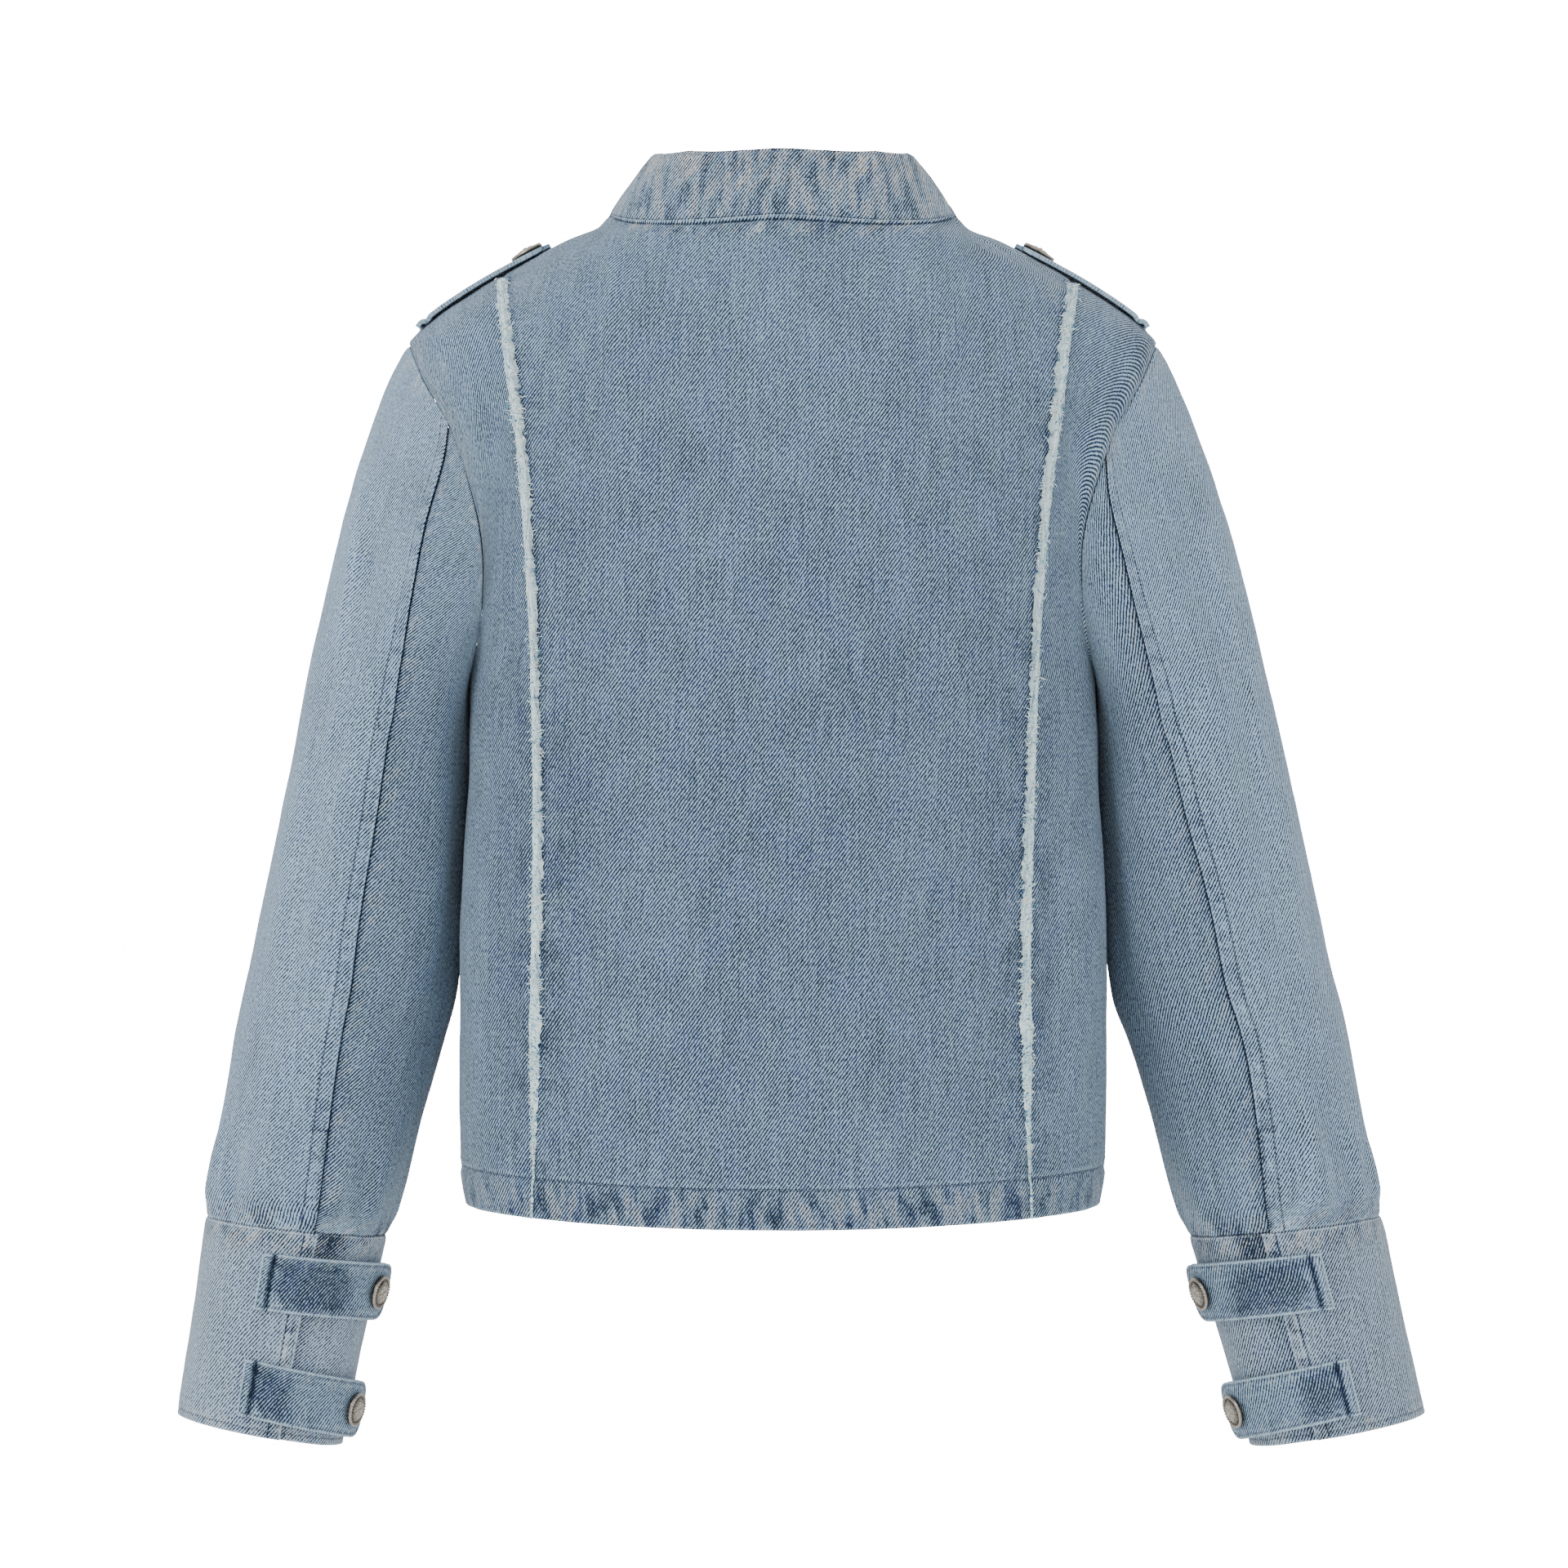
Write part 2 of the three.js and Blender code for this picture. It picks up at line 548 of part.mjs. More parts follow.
// The stand collar leans in as it rises from the neck line
function collarSpot(turn, up) {
  const base = neckLine(turn);
  const foot = plainTorso(base.angle, base.z);
  const sideShare = Math.abs(Math.sin(turn)) ** 2;
  const middleLean = Math.cos(turn) > 0 ? collarLean.back : collarLean.front;
  const lean = mix(middleLean, collarLean.side, sideShare) * degree;
  const outward = point(Math.sin(turn) / neckHalfWidth, Math.cos(turn) / neckFrontReach, 0).normalize();
  const rising = outward.clone().multiplyScalar(-Math.sin(lean)).add(point(0, 0, Math.cos(lean)));
  const normal = outward.clone().multiplyScalar(Math.cos(lean)).add(point(0, 0, Math.sin(lean)));
  const fromEnd = clamp((Math.abs(turn) - 168 * degree) / (10 * degree), 0, 1);
  const cornerRound = collarEndRound * (1 - Math.sqrt(1 - fromEnd ** 2));
  const belly = 0.8 * Math.sin(Math.PI * up);
  const reach = collarHeight + 3 * Math.min(1, (Math.sin(turn) / 0.6) ** 2) - cornerRound;
  const at = foot.addScaledVector(rising, 0.9 + up * reach).addScaledVector(normal, belly);
  const level = outward.clone().multiplyScalar(-1).setZ(0.35).normalize();
  const back = normal.negate().lerp(level, 1 - smoothStep(0, 0.25, up)).setLength(doubleThick);
  return { at, back };
}

// The shoulder tab lies over the shoulder line, stiffer than the cloth below it
function tabSpot(along, across, side) {
  const x = mix(tab.outer, tab.inner, along);
  const halfWidth = mix(tab.halfWidth, tab.tipHalfWidth, smoothStep(0.86, 1, along));
  const sideways = mix(-halfWidth, halfWidth, across) - tab.forward;
  const ridge = overPlan(x, 0.01).z;
  const droop = tab.droop * (overPlan(x, sideways).z - ridge);
  const lifted = tab.lift * (1 + Math.sin(Math.PI * along));
  const up = point(0.5, 0, 0.86);
  const at = point(x, sideways, ridge + droop).addScaledVector(up, lifted + doubleThick);
  at.x *= side;
  up.x *= side;
  return { at, back: up.multiplyScalar(-doubleThick) };
}

// A turned metal button: foot, rim, groove and dome
function buttonGeometry() {
  const profile = [
    [0, 0],
    [buttonRadius - 1.2, 0],
    [buttonRadius, 1.2],
    [buttonRadius - 0.6, 2.6],
    [buttonRadius - 2, 2.3],
    [buttonRadius - 4.5, 3.6],
    [0, 4.4],
  ].map(([radius, height]) => new THREE.Vector2(radius, height));
  return new THREE.LatheGeometry(profile, 14);
}

const jacket = new THREE.Group();
const denim = new THREE.MeshStandardMaterial({ color: denimColour, roughness: 0.85, metalness: 0 });
const shadedDenim = new THREE.MeshStandardMaterial({ color: shadeColour, roughness: 0.85, metalness: 0 });
const rawEdge = new THREE.MeshStandardMaterial({ color: rawEdgeColour, roughness: 0.95, metalness: 0 });
const metal = new THREE.MeshStandardMaterial({ color: metalColour, roughness: 0.35, metalness: 0.9 });

function addPiece(name, geometry, material) {
  const mesh = new THREE.Mesh(geometry, material);
  mesh.name = name;
  jacket.add(mesh);
  return mesh;
}

// Turns a function for the wearer's left side into one for either side
const mirrored = (side, spot) => {
  if (side > 0) return spot;
  return { ...spot, at: spot.at.setX(-spot.at.x), back: spot.back.setX(-spot.back.x) };
};
const sideName = (side) => (side > 0 ? "left" : "right");

function addBackCentre() {
  const shoulderPart = 2 / 12;
  const edge = (name) => (v) => {
    const found = frayEdge(v, name);
    return { x: name === "left" ? found.x : -found.x, z: found.z };
  };
  const topPoint = (u) => {
    const side = u < 0.5 ? -1 : 1;
    const fromMiddle = Math.abs(u - 0.5) * 2;
    const neckPart = 1 - 2 * shoulderPart;
    if (fromMiddle > neckPart) {
      const z = mix(0, frayTop[sideName(side)], (fromMiddle - neckPart) / (1 - neckPart));
      return { x: side * read(torso, "half", z), z };
    }
    const turn = (90 * degree * fromMiddle) / neckPart;
    const found = neckLine(turn);
    return { x: side * neckPlan(turn).x, z: found.z };
  };
  const bottom = (u) => ({ x: mix(edge("right")(0).x, edge("left")(0).x, u), z: hemHeight });
  const place = fillPanel({ left: edge("right"), right: edge("left"), top: topPoint, bottom }, ["x", "z"]);
  const spotAt = (u, v) => {
    const { x, z } = place(u, v);
    return bodySpot(angleAcross(x, z), z);
  };
  addPiece("back_centre", clothPanel(evenly(12), panelRows, spotAt), denim);
}

// At the armhole a panel's wall is cut to the mitre it shares with the sleeve
function sideSpot(side, face, u, v, place) {
  const { angle, z } = place(u, v);
  const spot = bodySpot(side * angle, z);
  if (u === 1 && v > armpitShare) {
    const turn = face * Math.PI * ((1 - v) / (1 - armpitShare));
    spot.back = armholeMitre(turn, sideName(side)).body;
    spot.back.x *= side;
  }
  return spot;
}

function addBackSide(side) {
  const name = sideName(side);
  const hemAngle = frayEdge(0, name).angle;
  const place = fillPanel(
    {
      left: (v) => frayEdge(v, name),
      right: (v) => armEdge(v, 1),
      top: (u) => ({ angle: 90 * degree, z: mix(frayTop[name], shoulderHeight, u) }),
      bottom: (u) => ({ angle: mix(hemAngle, 90 * degree, u), z: hemHeight }),
    },
    ["angle", "z"],
  );
  const spotAt = (u, v) => sideSpot(side, 1, u, v, place);
  addPiece(`back_side_${name}`, clothPanel(evenly(5), panelRows, spotAt), denim);
}

function addFront(side) {
  const neckPart = 0.5;
  const place = fillPanel(
    {
      left: (v) => ({ angle: 180 * degree, z: seamHeight(v, neckLine(Math.PI).z) }),
      right: (v) => armEdge(v, -1),
      top: (u) => {
        if (u <= neckPart) return neckLine(mix(180 * degree, 90.01 * degree, u / neckPart));
        return { angle: 90 * degree, z: mix(0, shoulderHeight, (u - neckPart) / (1 - neckPart)) };
      },
      bottom: (u) => ({ angle: mix(180 * degree, 90 * degree, u ** 1.15), z: hemHeight }),
    },
    ["angle", "z"],
  );
  const spotAt = (u, v) => sideSpot(side, -1, u, v, place);
  addPiece(`front_${sideName(side)}`, clothPanel(evenly(10), panelRows, spotAt), denim);
}

function addSleeve(side) {
  const name = sideName(side);
  const spotAt = (from, to) => (u, t) => mirrored(side, sleeveSpot(mix(from(t), to(t), u), t, name));
  const backSeam = (t) => backSeamTurn(t, name);
  const upper = spotAt(frontSeamTurn, backSeam);
  const under = spotAt(backSeam, (t) => frontSeamTurn(t) + 2 * Math.PI);
  const upperColumns = Math.round((backSeam(0) - frontSeamTurn(0)) / armholeStep);
  const underColumns = (2 * Math.PI) / armholeStep - upperColumns;
  addPiece(`sleeve_upper_${name}`, clothPanel(evenly(upperColumns), sleeveRows, upper), denim);
  addPiece(`sleeve_under_${name}`, clothPanel(evenly(underColumns), sleeveRows, under), shadedDenim);
}

function addCuff(side) {
  const name = sideName(side);
  const place = (u, v) => mirrored(side, cuffSpot(u * (2 * Math.PI + cuffOverlap), v, name));
  addPiece(`cuff_${name}`, clothPanel(evenly(34), [0, 0.06, 0.5, 0.94, 1], place), denim);
  for (const strap of cuffStraps) {
    const columns = [0, 0.054, 0.06, 0.18, 0.3, 0.42, 0.54, 0.66, 0.76, 0.84, 0.9, 0.95, 0.98, 1];
    const strapPlace = (u, v) => mirrored(side, strapSpot(u, v, strap, name));
    addPiece(`cuff_strap_${strap.name}_${name}`, clothPanel(columns, evenly(2), strapPlace), shadedDenim);
    const seat = strapSpot(0.81, 0.5, strap, name);
    seat.at.x *= side;
    seat.normal.x *= side;
    addButton(`cuff_button_${strap.name}_${name}`, seat.at, seat.normal);
  }
}

function addButton(name, at, normal) {
  const button = addPiece(name, buttonGeometry(), metal);
  button.position.copy(at).addScaledVector(normal, layerGap);
  button.quaternion.setFromUnitVectors(point(0, 1, 0), normal.clone().normalize());
}

function addCollar() {
  const half = 178 * degree;
  const place = (u, v) => collarSpot(mix(-half, half, u), v);
  addPiece("collar", clothPanel(evenly(36), evenly(4), place), denim);
}

function addShoulderTab(side) {
  const name = sideName(side);
  const place = (u, v) => tabSpot(u, v, side);
  const columns = [0, 0.15, 0.3, 0.45, 0.6, 0.75, 0.87, 0.95, 1];
  addPiece(`shoulder_tab_${name}`, clothPanel(columns, evenly(3), place), denim);
  const seat = tabSpot(0.84, 0.5, side);
  addButton(`shoulder_button_${name}`, seat.at, seat.back.clone().negate().normalize());
}

// A frayed seam: the raw edges of two back panels, standing on the seam from the shoulder to the hem fold
function addFrayedSeam(side) {
  const name = sideName(side);
  const place = (u, v) => {
    const z = mix(hemFoldTop + fray.hemGap, frayTop[name] - fray.topGap, v);
    const x = side * (read(fraySeam, name, z) + mix(-fray.halfWidth, fray.halfWidth, u));
    const spot = bodySpot(angleAcross(x, z), z);
    const normal = spot.back.clone().normalize().negate();
    const high = layerGap + fray.foot + fray.thick;
    return { at: spot.at.addScaledVector(normal, high), back: normal.multiplyScalar(-fray.thick) };
  };
  const rows = evenly(22).map((v) => 1 - (1 - v) ** 1.6);
  addPiece(`frayed_seam_${name}`, clothPanel(evenly(1), rows, place), rawEdge);
}

// The front closes under a band with a row of buttons
function addFrontBand() {
  const top = neckLine(Math.PI).z;
  const bandTop = top - band.topGap;
  const place = (u, v) => {
    const z = mix(hemHeight, bandTop, v);
    const angle = Math.PI - angleAcross(mix(-band.halfWidth, band.halfWidth, u), z);
    const spot = bodySpot(angle, z);
    const normal = spot.back.clone().normalize().negate();
    const high = layerGap + clothThick + band.proud;
    return { at: spot.at.addScaledVector(normal, high), back: normal.multiplyScalar(-clothThick) };
  };
  const share = (z) => (z - hemHeight) / (bandTop - hemHeight);
  const rows = [0, share(hemFoldTop - 1.5), share(hemFoldTop + 1.5), ...evenly(17).slice(1)];
  addPiece("front_band", clothPanel(evenly(4), rows, place), denim);
  for (let i = 0; i < band.buttons; i += 1) {
    const z = mix(top - band.firstButton, hemHeight + band.lastButton, i / (band.buttons - 1));
    const spot = place(0.5, share(z));
    addButton(`front_button_${i + 1}`, spot.at, spot.back.clone().normalize().negate());
  }
}

addBackCentre();
addCollar();
addFrontBand();
for (const side of [1, -1]) {
  addBackSide(side);
  addFront(side);
  addSleeve(side);
  addCuff(side);
  addShoulderTab(side);
  addFrayedSeam(side);
}

export default jacket;
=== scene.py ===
import math
import bmesh
import bpy
import numpy as np
from mathutils import Matrix, Vector


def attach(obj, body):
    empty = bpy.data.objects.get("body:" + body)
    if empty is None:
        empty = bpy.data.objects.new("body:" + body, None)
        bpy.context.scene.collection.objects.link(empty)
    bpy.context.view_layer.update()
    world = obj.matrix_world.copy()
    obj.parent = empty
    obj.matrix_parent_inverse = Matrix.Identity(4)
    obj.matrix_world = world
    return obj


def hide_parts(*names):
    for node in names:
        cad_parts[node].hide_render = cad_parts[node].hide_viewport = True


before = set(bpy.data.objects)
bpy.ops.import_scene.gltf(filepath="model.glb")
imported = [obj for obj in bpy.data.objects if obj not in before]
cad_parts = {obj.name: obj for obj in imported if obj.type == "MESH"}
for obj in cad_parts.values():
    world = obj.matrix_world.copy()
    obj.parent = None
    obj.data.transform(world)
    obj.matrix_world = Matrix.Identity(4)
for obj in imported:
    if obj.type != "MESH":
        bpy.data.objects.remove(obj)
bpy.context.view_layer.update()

# A cropped denim jacket seen from behind, filled out as if worn. Shapes are worked out in millimetres.
mm = 0.001
degree = math.pi / 180
sideNames = {1: "left", -1: "right"}  # the wearer's left is +X
sides = ((1, "Left"), (-1, "Right"))
far = 400.0  # stands for the distance of an edge that a piece doesn't have


# Small sums
def stack(x, y, z):
    return np.stack(np.broadcast_arrays(x, y, z), -1).astype(float)


def mix(a, b, share):
    return a + (b - a) * share


def smoothStep(low, high, value):
    share = np.clip((value - low) / (high - low), 0, 1)
    return share * share * (3 - 2 * share)


def bell(distance, width):
    return np.exp(-((distance / width) ** 2))


def spread(share, power):
    return np.sign(share) * np.abs(share) ** power


def unit(vectors):
    return vectors / np.maximum(np.linalg.norm(vectors, axis=-1, keepdims=True), 1e-9)


def softNoise(x, y, seed):  # smooth random values from -1 to 1, one step a unit
    values = np.random.default_rng(seed).uniform(-1, 1, (64, 64))
    x, y = np.broadcast_arrays(x, y)
    column, row = np.floor(x).astype(int), np.floor(y).astype(int)
    s, t = x - column, y - row
    s, t = s * s * (3 - 2 * s), t * t * (3 - 2 * t)
    a, b, c, d = column % 64, (column + 1) % 64, row % 64, (row + 1) % 64
    return mix(mix(values[a, c], values[b, c], s), mix(values[a, d], values[b, d], s), t)


def table(names, rows):
    return dict(zip(names.split(), np.array(rows, float).T))


def read(sizes, column, z):  # a column of a table at a height, on a smooth curve that never overshoots
    heights, values = sizes["z"], sizes[column]
    z = np.clip(z, heights[-1], heights[0])
    rise = np.diff(values) / np.diff(heights)
    before, after = rise[:-1], rise[1:]
    total = np.where(before + after == 0, 1, before + after)
    between = np.where(before * after <= 0, 0, 2 * before * after / total)
    slopes = np.concatenate([rise[:1], between, rise[-1:]])
    row = np.clip(np.searchsorted(-heights, -z, side="left") - 1, 0, len(heights) - 2)
    span = heights[row + 1] - heights[row]
    s = (z - heights[row]) / span
    first = (1 + 2 * s) * (1 - s) ** 2 * values[row] + s * (1 - s) ** 2 * span * slopes[row]
    return first + s * s * (3 - 2 * s) * values[row + 1] + s * s * (s - 1) * span * slopes[row + 1]


def outwardOf(surface, a, b, stepA, stepB, inside):  # the unit normal that faces away from a point inside
    alongA = surface(a + stepA, b) - surface(a - stepA, b)
    alongB = surface(a, b + stepB) - surface(a, b - stepB)
    out = unit(np.cross(alongA, alongB))
    away = np.sum(out * (surface(a, b) - inside), -1, keepdims=True)
    return out * np.where(away < 0, -1, 1)


# The body
body = {
    "hem": -545, "armpit": -255, "shoulder": -70, "hemFoldTop": -523, "thick": 1.4,
    "neckHalfWidth": 95, "neckBackReach": 62, "neckFrontReach": 78, "neckSquare": 0.88,
    "armholeReach": (70, 61), "armholeSkew": (0.22, 0.16),
}
# Level sections: half width at the side, depth to the back and front, squareness of the outline
torso = table("z half back front square", [
    (4, 90, 58, 50, 2), (0, 96.5, 60, 52, 2), (-6, 102.5, 63, 54.5, 2), (-14, 121.5, 67, 57.5, 2),
    (-21, 135, 70.5, 60.5, 2), (-28, 148, 74, 63, 2), (-37, 164, 78, 66.5, 2.02),
    (-46, 178.5, 82, 70.5, 2.04), (-54.5, 191, 85, 74, 2.06), (-62, 200, 87.5, 77.5, 2.08),
    (-70, 206, 90, 82, 2.1), (-91, 208, 96, 92, 2.2), (-120, 201, 102, 104, 2.3),
    (-160, 194, 108, 119, 2.4), (-200, 184.5, 112, 129, 2.5), (-255, 171, 114, 134, 2.6),
    (-300, 170.6, 114, 133, 2.6), (-352, 173.6, 113, 130, 2.6), (-420, 177.4, 113, 128, 2.6),
    (-480, 178, 114, 127, 2.6), (-510, 177.3, 114.5, 127, 2.6), (-523, 176, 115, 127, 2.6),
    (-548, 172, 113.5, 125, 2.6),
])
# How far each frayed back seam runs from the centre back
fraySeam = table("z left right", [
    (0, 155, 161), (-34, 153, 158.5), (-80, 147, 150.8), (-120, 141.5, 146.3), (-160, 137.6, 141.4),
    (-242, 132.6, 135), (-330, 130.6, 131.4), (-415, 131.5, 129.4), (-548, 133, 132),
])
# Soft folds down the body: face, x, top, bottom, half width, height above the cloth
bodyFolds = [
    (1, 171, -232, -450, 9, 2.4), (1, -171, -232, -450, 9, 3.4),
    (1, 165, -72, -230, 11, 3), (1, 148, -110, -300, 12, -2.2),
    (1, -169, -66, -230, 11, 3.2), (1, -150, -100, -310, 12, -2.4),
    (1, 62, -330, -560, 26, 2.2), (1, -48, -300, -560, 30, 2.4), (1, 8, -380, -570, 24, -2),
    (-1, 88, -190, -560, 24, 3.4), (-1, -92, -200, -560, 22, 3.2),
    (-1, 128, -230, -520, 17, -2.6), (-1, -130, -220, -510, 17, -2.8),
    (-1, 150, -95, -260, 14, 3), (-1, -150, -95, -270, 14, 3),
]


def plainTorso(angle, z):  # 0 is the centre back, 90 degrees the wearer's left, 180 the centre front
    power = 2 / read(torso, "square", z)
    sine, cosine = np.sin(angle), np.cos(angle)
    deep = np.where(cosine >= 0, read(torso, "back", z), read(torso, "front", z))
    return stack(read(torso, "half", z) * spread(sine, power), deep * spread(cosine, power), z)


def torsoNormal(angle, z):
    return outwardOf(plainTorso, angle, z, 0.02, 0.8, stack(0, 0, z - 60))


def torsoCloth(angle, z):
    base = plainTorso(angle, z)
    x, y = base[..., 0], base[..., 1]
    lift = 0
    for face, foldX, top, bottom, wide, high in bodyFolds:
        reach = smoothStep(bottom, bottom + 70, z) * (1 - smoothStep(top - 60, top, z))
        lift = lift + high * reach * bell(x - foldX, wide) * np.clip(np.abs(y) / 30, 0, 1) * (face * y > 0)
    return base + torsoNormal(angle, z) * np.asarray(lift)[..., None]


def angleAcross(x, z):
    share = np.clip(np.abs(x) / read(torso, "half", z), 0, 1)
    return np.sign(x) * np.arcsin(share ** (read(torso, "square", z) / 2))


def overPlan(x, y):  # the angle and height of the top of the body above a point in plan
    x, y = np.broadcast_arrays(np.asarray(x, float), np.asarray(y, float))
    low, high = np.full(x.shape, -150.0), np.full(x.shape, 4.0)

    def deepAt(z):
        return np.where(y >= 0, read(torso, "back", z), read(torso, "front", z))

    for _ in range(34):
        z = (low + high) / 2
        n = read(torso, "square", z)
        outside = (np.abs(x) / read(torso, "half", z)) ** n + (np.abs(y) / deepAt(z)) ** n > 1
        high, low = np.where(outside, z, high), np.where(outside, low, z)
    n = read(torso, "square", low)
    across = (np.abs(x) / read(torso, "half", low)) ** (n / 2) * np.where(x < 0, -1, 1)
    along = (np.abs(y) / deepAt(low)) ** (n / 2) * np.where(y < 0, -1, 1)
    return np.arctan2(across, along), low


def neckPlan(turn):
    reach = np.where(np.cos(turn) >= 0, body["neckBackReach"], body["neckFrontReach"])
    square = body["neckSquare"]
    return body["neckHalfWidth"] * spread(np.sin(turn), square), reach * spread(np.cos(turn), square)


def neckLine(turn):
    return overPlan(*neckPlan(turn))


neckFront = float(neckLine(np.array(np.pi))[1])

def armholeEdge(turn, behind):  # turn 0 is the shoulder point and 180 degrees the armpit
    middle = (body["shoulder"] + body["armpit"]) / 2
    z = middle + (body["shoulder"] - middle) * np.cos(turn)
    size, skew = (np.where(behind, *body[name]) for name in ("armholeReach", "armholeSkew"))
    reach = size * np.sin(turn - skew * np.sin(turn))
    deep = np.where(behind, read(torso, "back", z), read(torso, "front", z))
    fromCentre = np.arccos(np.clip(reach / deep, 0, 1) ** (read(torso, "square", z) / 2))
    return np.where(behind, fromCentre, np.pi - fromCentre), z


def armholePoint(turn, side):
    whole = np.arctan2(np.sin(turn), np.cos(turn))
    angle, z = armholeEdge(np.abs(whole), whole >= 0)
    spot = torsoCloth(side * angle, z)
    spot[..., 0] = np.abs(spot[..., 0])
    return spot


def findFrayTop(side):
    heights = -np.arange(0, 80, 0.05)
    meets = read(torso, "half", heights) >= read(fraySeam, sideNames[side], heights)
    return heights[np.argmax(meets)]


frayTop = {side: findFrayTop(side) for side in (1, -1)}


def seamHeight(v, top):  # share 0 is the hem, a half the armpit and 1 the top
    upper = mix(top, body["armpit"], np.clip(2 - 2 * v, 0, 1) ** 1.7)
    return np.where(v <= 0.5, mix(body["hem"], body["armpit"], 2 * v), upper)


def fillPanel(u, v, left, right, bottom, top):  # the top edge bends the rows of the upper half only
    share = smoothStep(0.35, 1, v)
    zero, one = np.zeros_like(u), np.ones_like(u)
    found = []
    for key in (0, 1):
        corners = mix(
            mix(bottom(zero)[key], bottom(one)[key], u), mix(top(zero)[key], top(one)[key], u), share)
        ends = mix(bottom(u)[key], top(u)[key], share)
        found.append(ends + mix(left(v)[key], right(v)[key], u) - corners)
    return found


def bodySpot(angle, height):  # the folded hem hangs lower at the centre and stands a little proud
    across = np.abs(spread(np.sin(angle), 2 / read(torso, "square", height)))
    edge = body["hem"] - 2.6 + 7 * across ** 1.8
    top = body["hemFoldTop"]
    z = np.where(height >= top, height, mix(top, edge, (height - top) / (body["hem"] - top)))
    out = torsoNormal(angle, z)
    proud = 0.8 * smoothStep(top + 1.2, top - 1.2, z)
    return torsoCloth(angle, z) + out * np.asarray(proud)[..., None], out


def backCentreShape(u, v):
    def sideEdge(side):
        def edge(share):
            z = seamHeight(share, frayTop[side])
            return side * read(fraySeam, sideNames[side], z), z
        return edge

    def topEdge(share):
        side = np.where(share < 0.5, -1, 1)
        fromMiddle = np.abs(share - 0.5) * 2
        neckPart = 2 / 3
        down = np.clip((fromMiddle - neckPart) / (1 - neckPart), 0, 1)
        shoulderZ = down * np.where(side > 0, frayTop[1], frayTop[-1])
        turn = np.pi / 2 * np.clip(fromMiddle / neckPart, 0, 1)
        onNeck = fromMiddle <= neckPart
        x = np.where(onNeck, neckPlan(turn)[0], read(torso, "half", shoulderZ))
        return side * x, np.where(onNeck, neckLine(turn)[1], shoulderZ)

    def bottomEdge(share):
        return mix(sideEdge(-1)(share * 0)[0], sideEdge(1)(share * 0)[0], share), body["hem"] + 0 * share

    x, z = fillPanel(u, v, sideEdge(-1), sideEdge(1), bottomEdge, topEdge)
    return bodySpot(angleAcross(x, z), z)


def armEdge(v, behind):
    angle, z = armholeEdge(np.pi * np.clip(2 - 2 * v, 0, 1), behind)
    low = v <= 0.5
    return np.where(low, np.pi / 2, angle), np.where(low, seamHeight(v, 0), z)


def backSideShape(side):
    def frayLine(v):
        z = seamHeight(v, frayTop[side])
        return angleAcross(read(fraySeam, sideNames[side], z), z), z

    def shape(u, v):
        angle, z = fillPanel(
            u, v, frayLine, lambda s: armEdge(s, True),
            lambda s: (mix(frayLine(s * 0)[0], np.pi / 2, s), body["hem"] + 0 * s),
            lambda s: (np.pi / 2 + 0 * s, mix(frayTop[side], body["shoulder"], s)))
        return bodySpot(side * angle, z)
    return shape


def frontShape(side):
    def centreLine(v):
        return np.pi + 0 * v, seamHeight(v, neckFront)

    def topEdge(s):
        angle, z = neckLine(mix(np.pi, 90.01 * degree, np.clip(s * 2, 0, 1)))
        onNeck = s <= 0.5
        onShoulder = body["shoulder"] * np.clip(2 * s - 1, 0, 1)
        return np.where(onNeck, angle, np.pi / 2), np.where(onNeck, z, onShoulder)

    def shape(u, v):
        angle, z = fillPanel(
            u, v, centreLine, lambda s: armEdge(s, False),
            lambda s: (mix(np.pi, np.pi / 2, s ** 1.15), body["hem"] + 0 * s), topEdge)
        return bodySpot(side * angle, z)
    return shape


band = {
    "halfWidth": 16.0, "top": neckFront - 1.5, "proud": 2.15,
    "buttons": 6, "firstButton": 20.5, "lastButton": 44,
}


def frontBandShape(u, v):
    z = mix(body["hem"], band["top"], v)
    x = mix(-band["halfWidth"], band["halfWidth"], u)
    at, out = bodySpot(np.pi - angleAcross(x, z), z)
    return at + out * band["proud"], out


# The sleeves
arm = {
    "bicep": -290, "cuffSeam": -557, "cuffEnd": -671,
    "frontSeam": -108 * degree, "frontSeamEnd": -118 * degree,
}
# Turn of the back seam in degrees. Here z is how far down the sleeve: 0 the armhole, -2 the cuff seam.
sleeveBackSeam = table("z left right", [
    (0, 60, 72), (-0.1, 65.5, 79), (-0.3, 72, 87.5), (-0.5, 82.5, 97), (-0.7, 92.5, 104.5),
    (-0.9, 98, 108.5), (-1.1, 96.5, 103), (-1.4, 93, 93), (-1.6, 95.5, 92), (-1.8, 100, 96),
    (-2, 106, 103.5),
])
# Sections below the armhole: centre, half width, climb outwards, half depth, place back to front
sleeve = table("z left right wideLeft wideRight climb deep y", [
    (-290, 219.8, 223.4, 48.2, 50.8, 0.11, 66, -6), (-352, 227.8, 232.2, 52.8, 56.2, 0.12, 62, -9),
    (-420, 237.8, 242.8, 57.4, 60.6, 0.14, 57, -15), (-445, 244.4, 250.6, 56.6, 59.4, 0.15, 55.5, -18),
    (-480, 252.6, 259.9, 54.6, 57.4, 0.15, 53, -21), (-520, 261.8, 269.6, 52, 54.6, 0.14, 50, -26),
    (-557, 270.7, 279.5, 50, 53, 0.112, 46.5, -30), (-615, 282, 295, 47.2, 50.6, 0.15, 44, -34),
    (-671, 291.8, 309.6, 45.6, 48.4, 0.19, 41.5, -37),
])
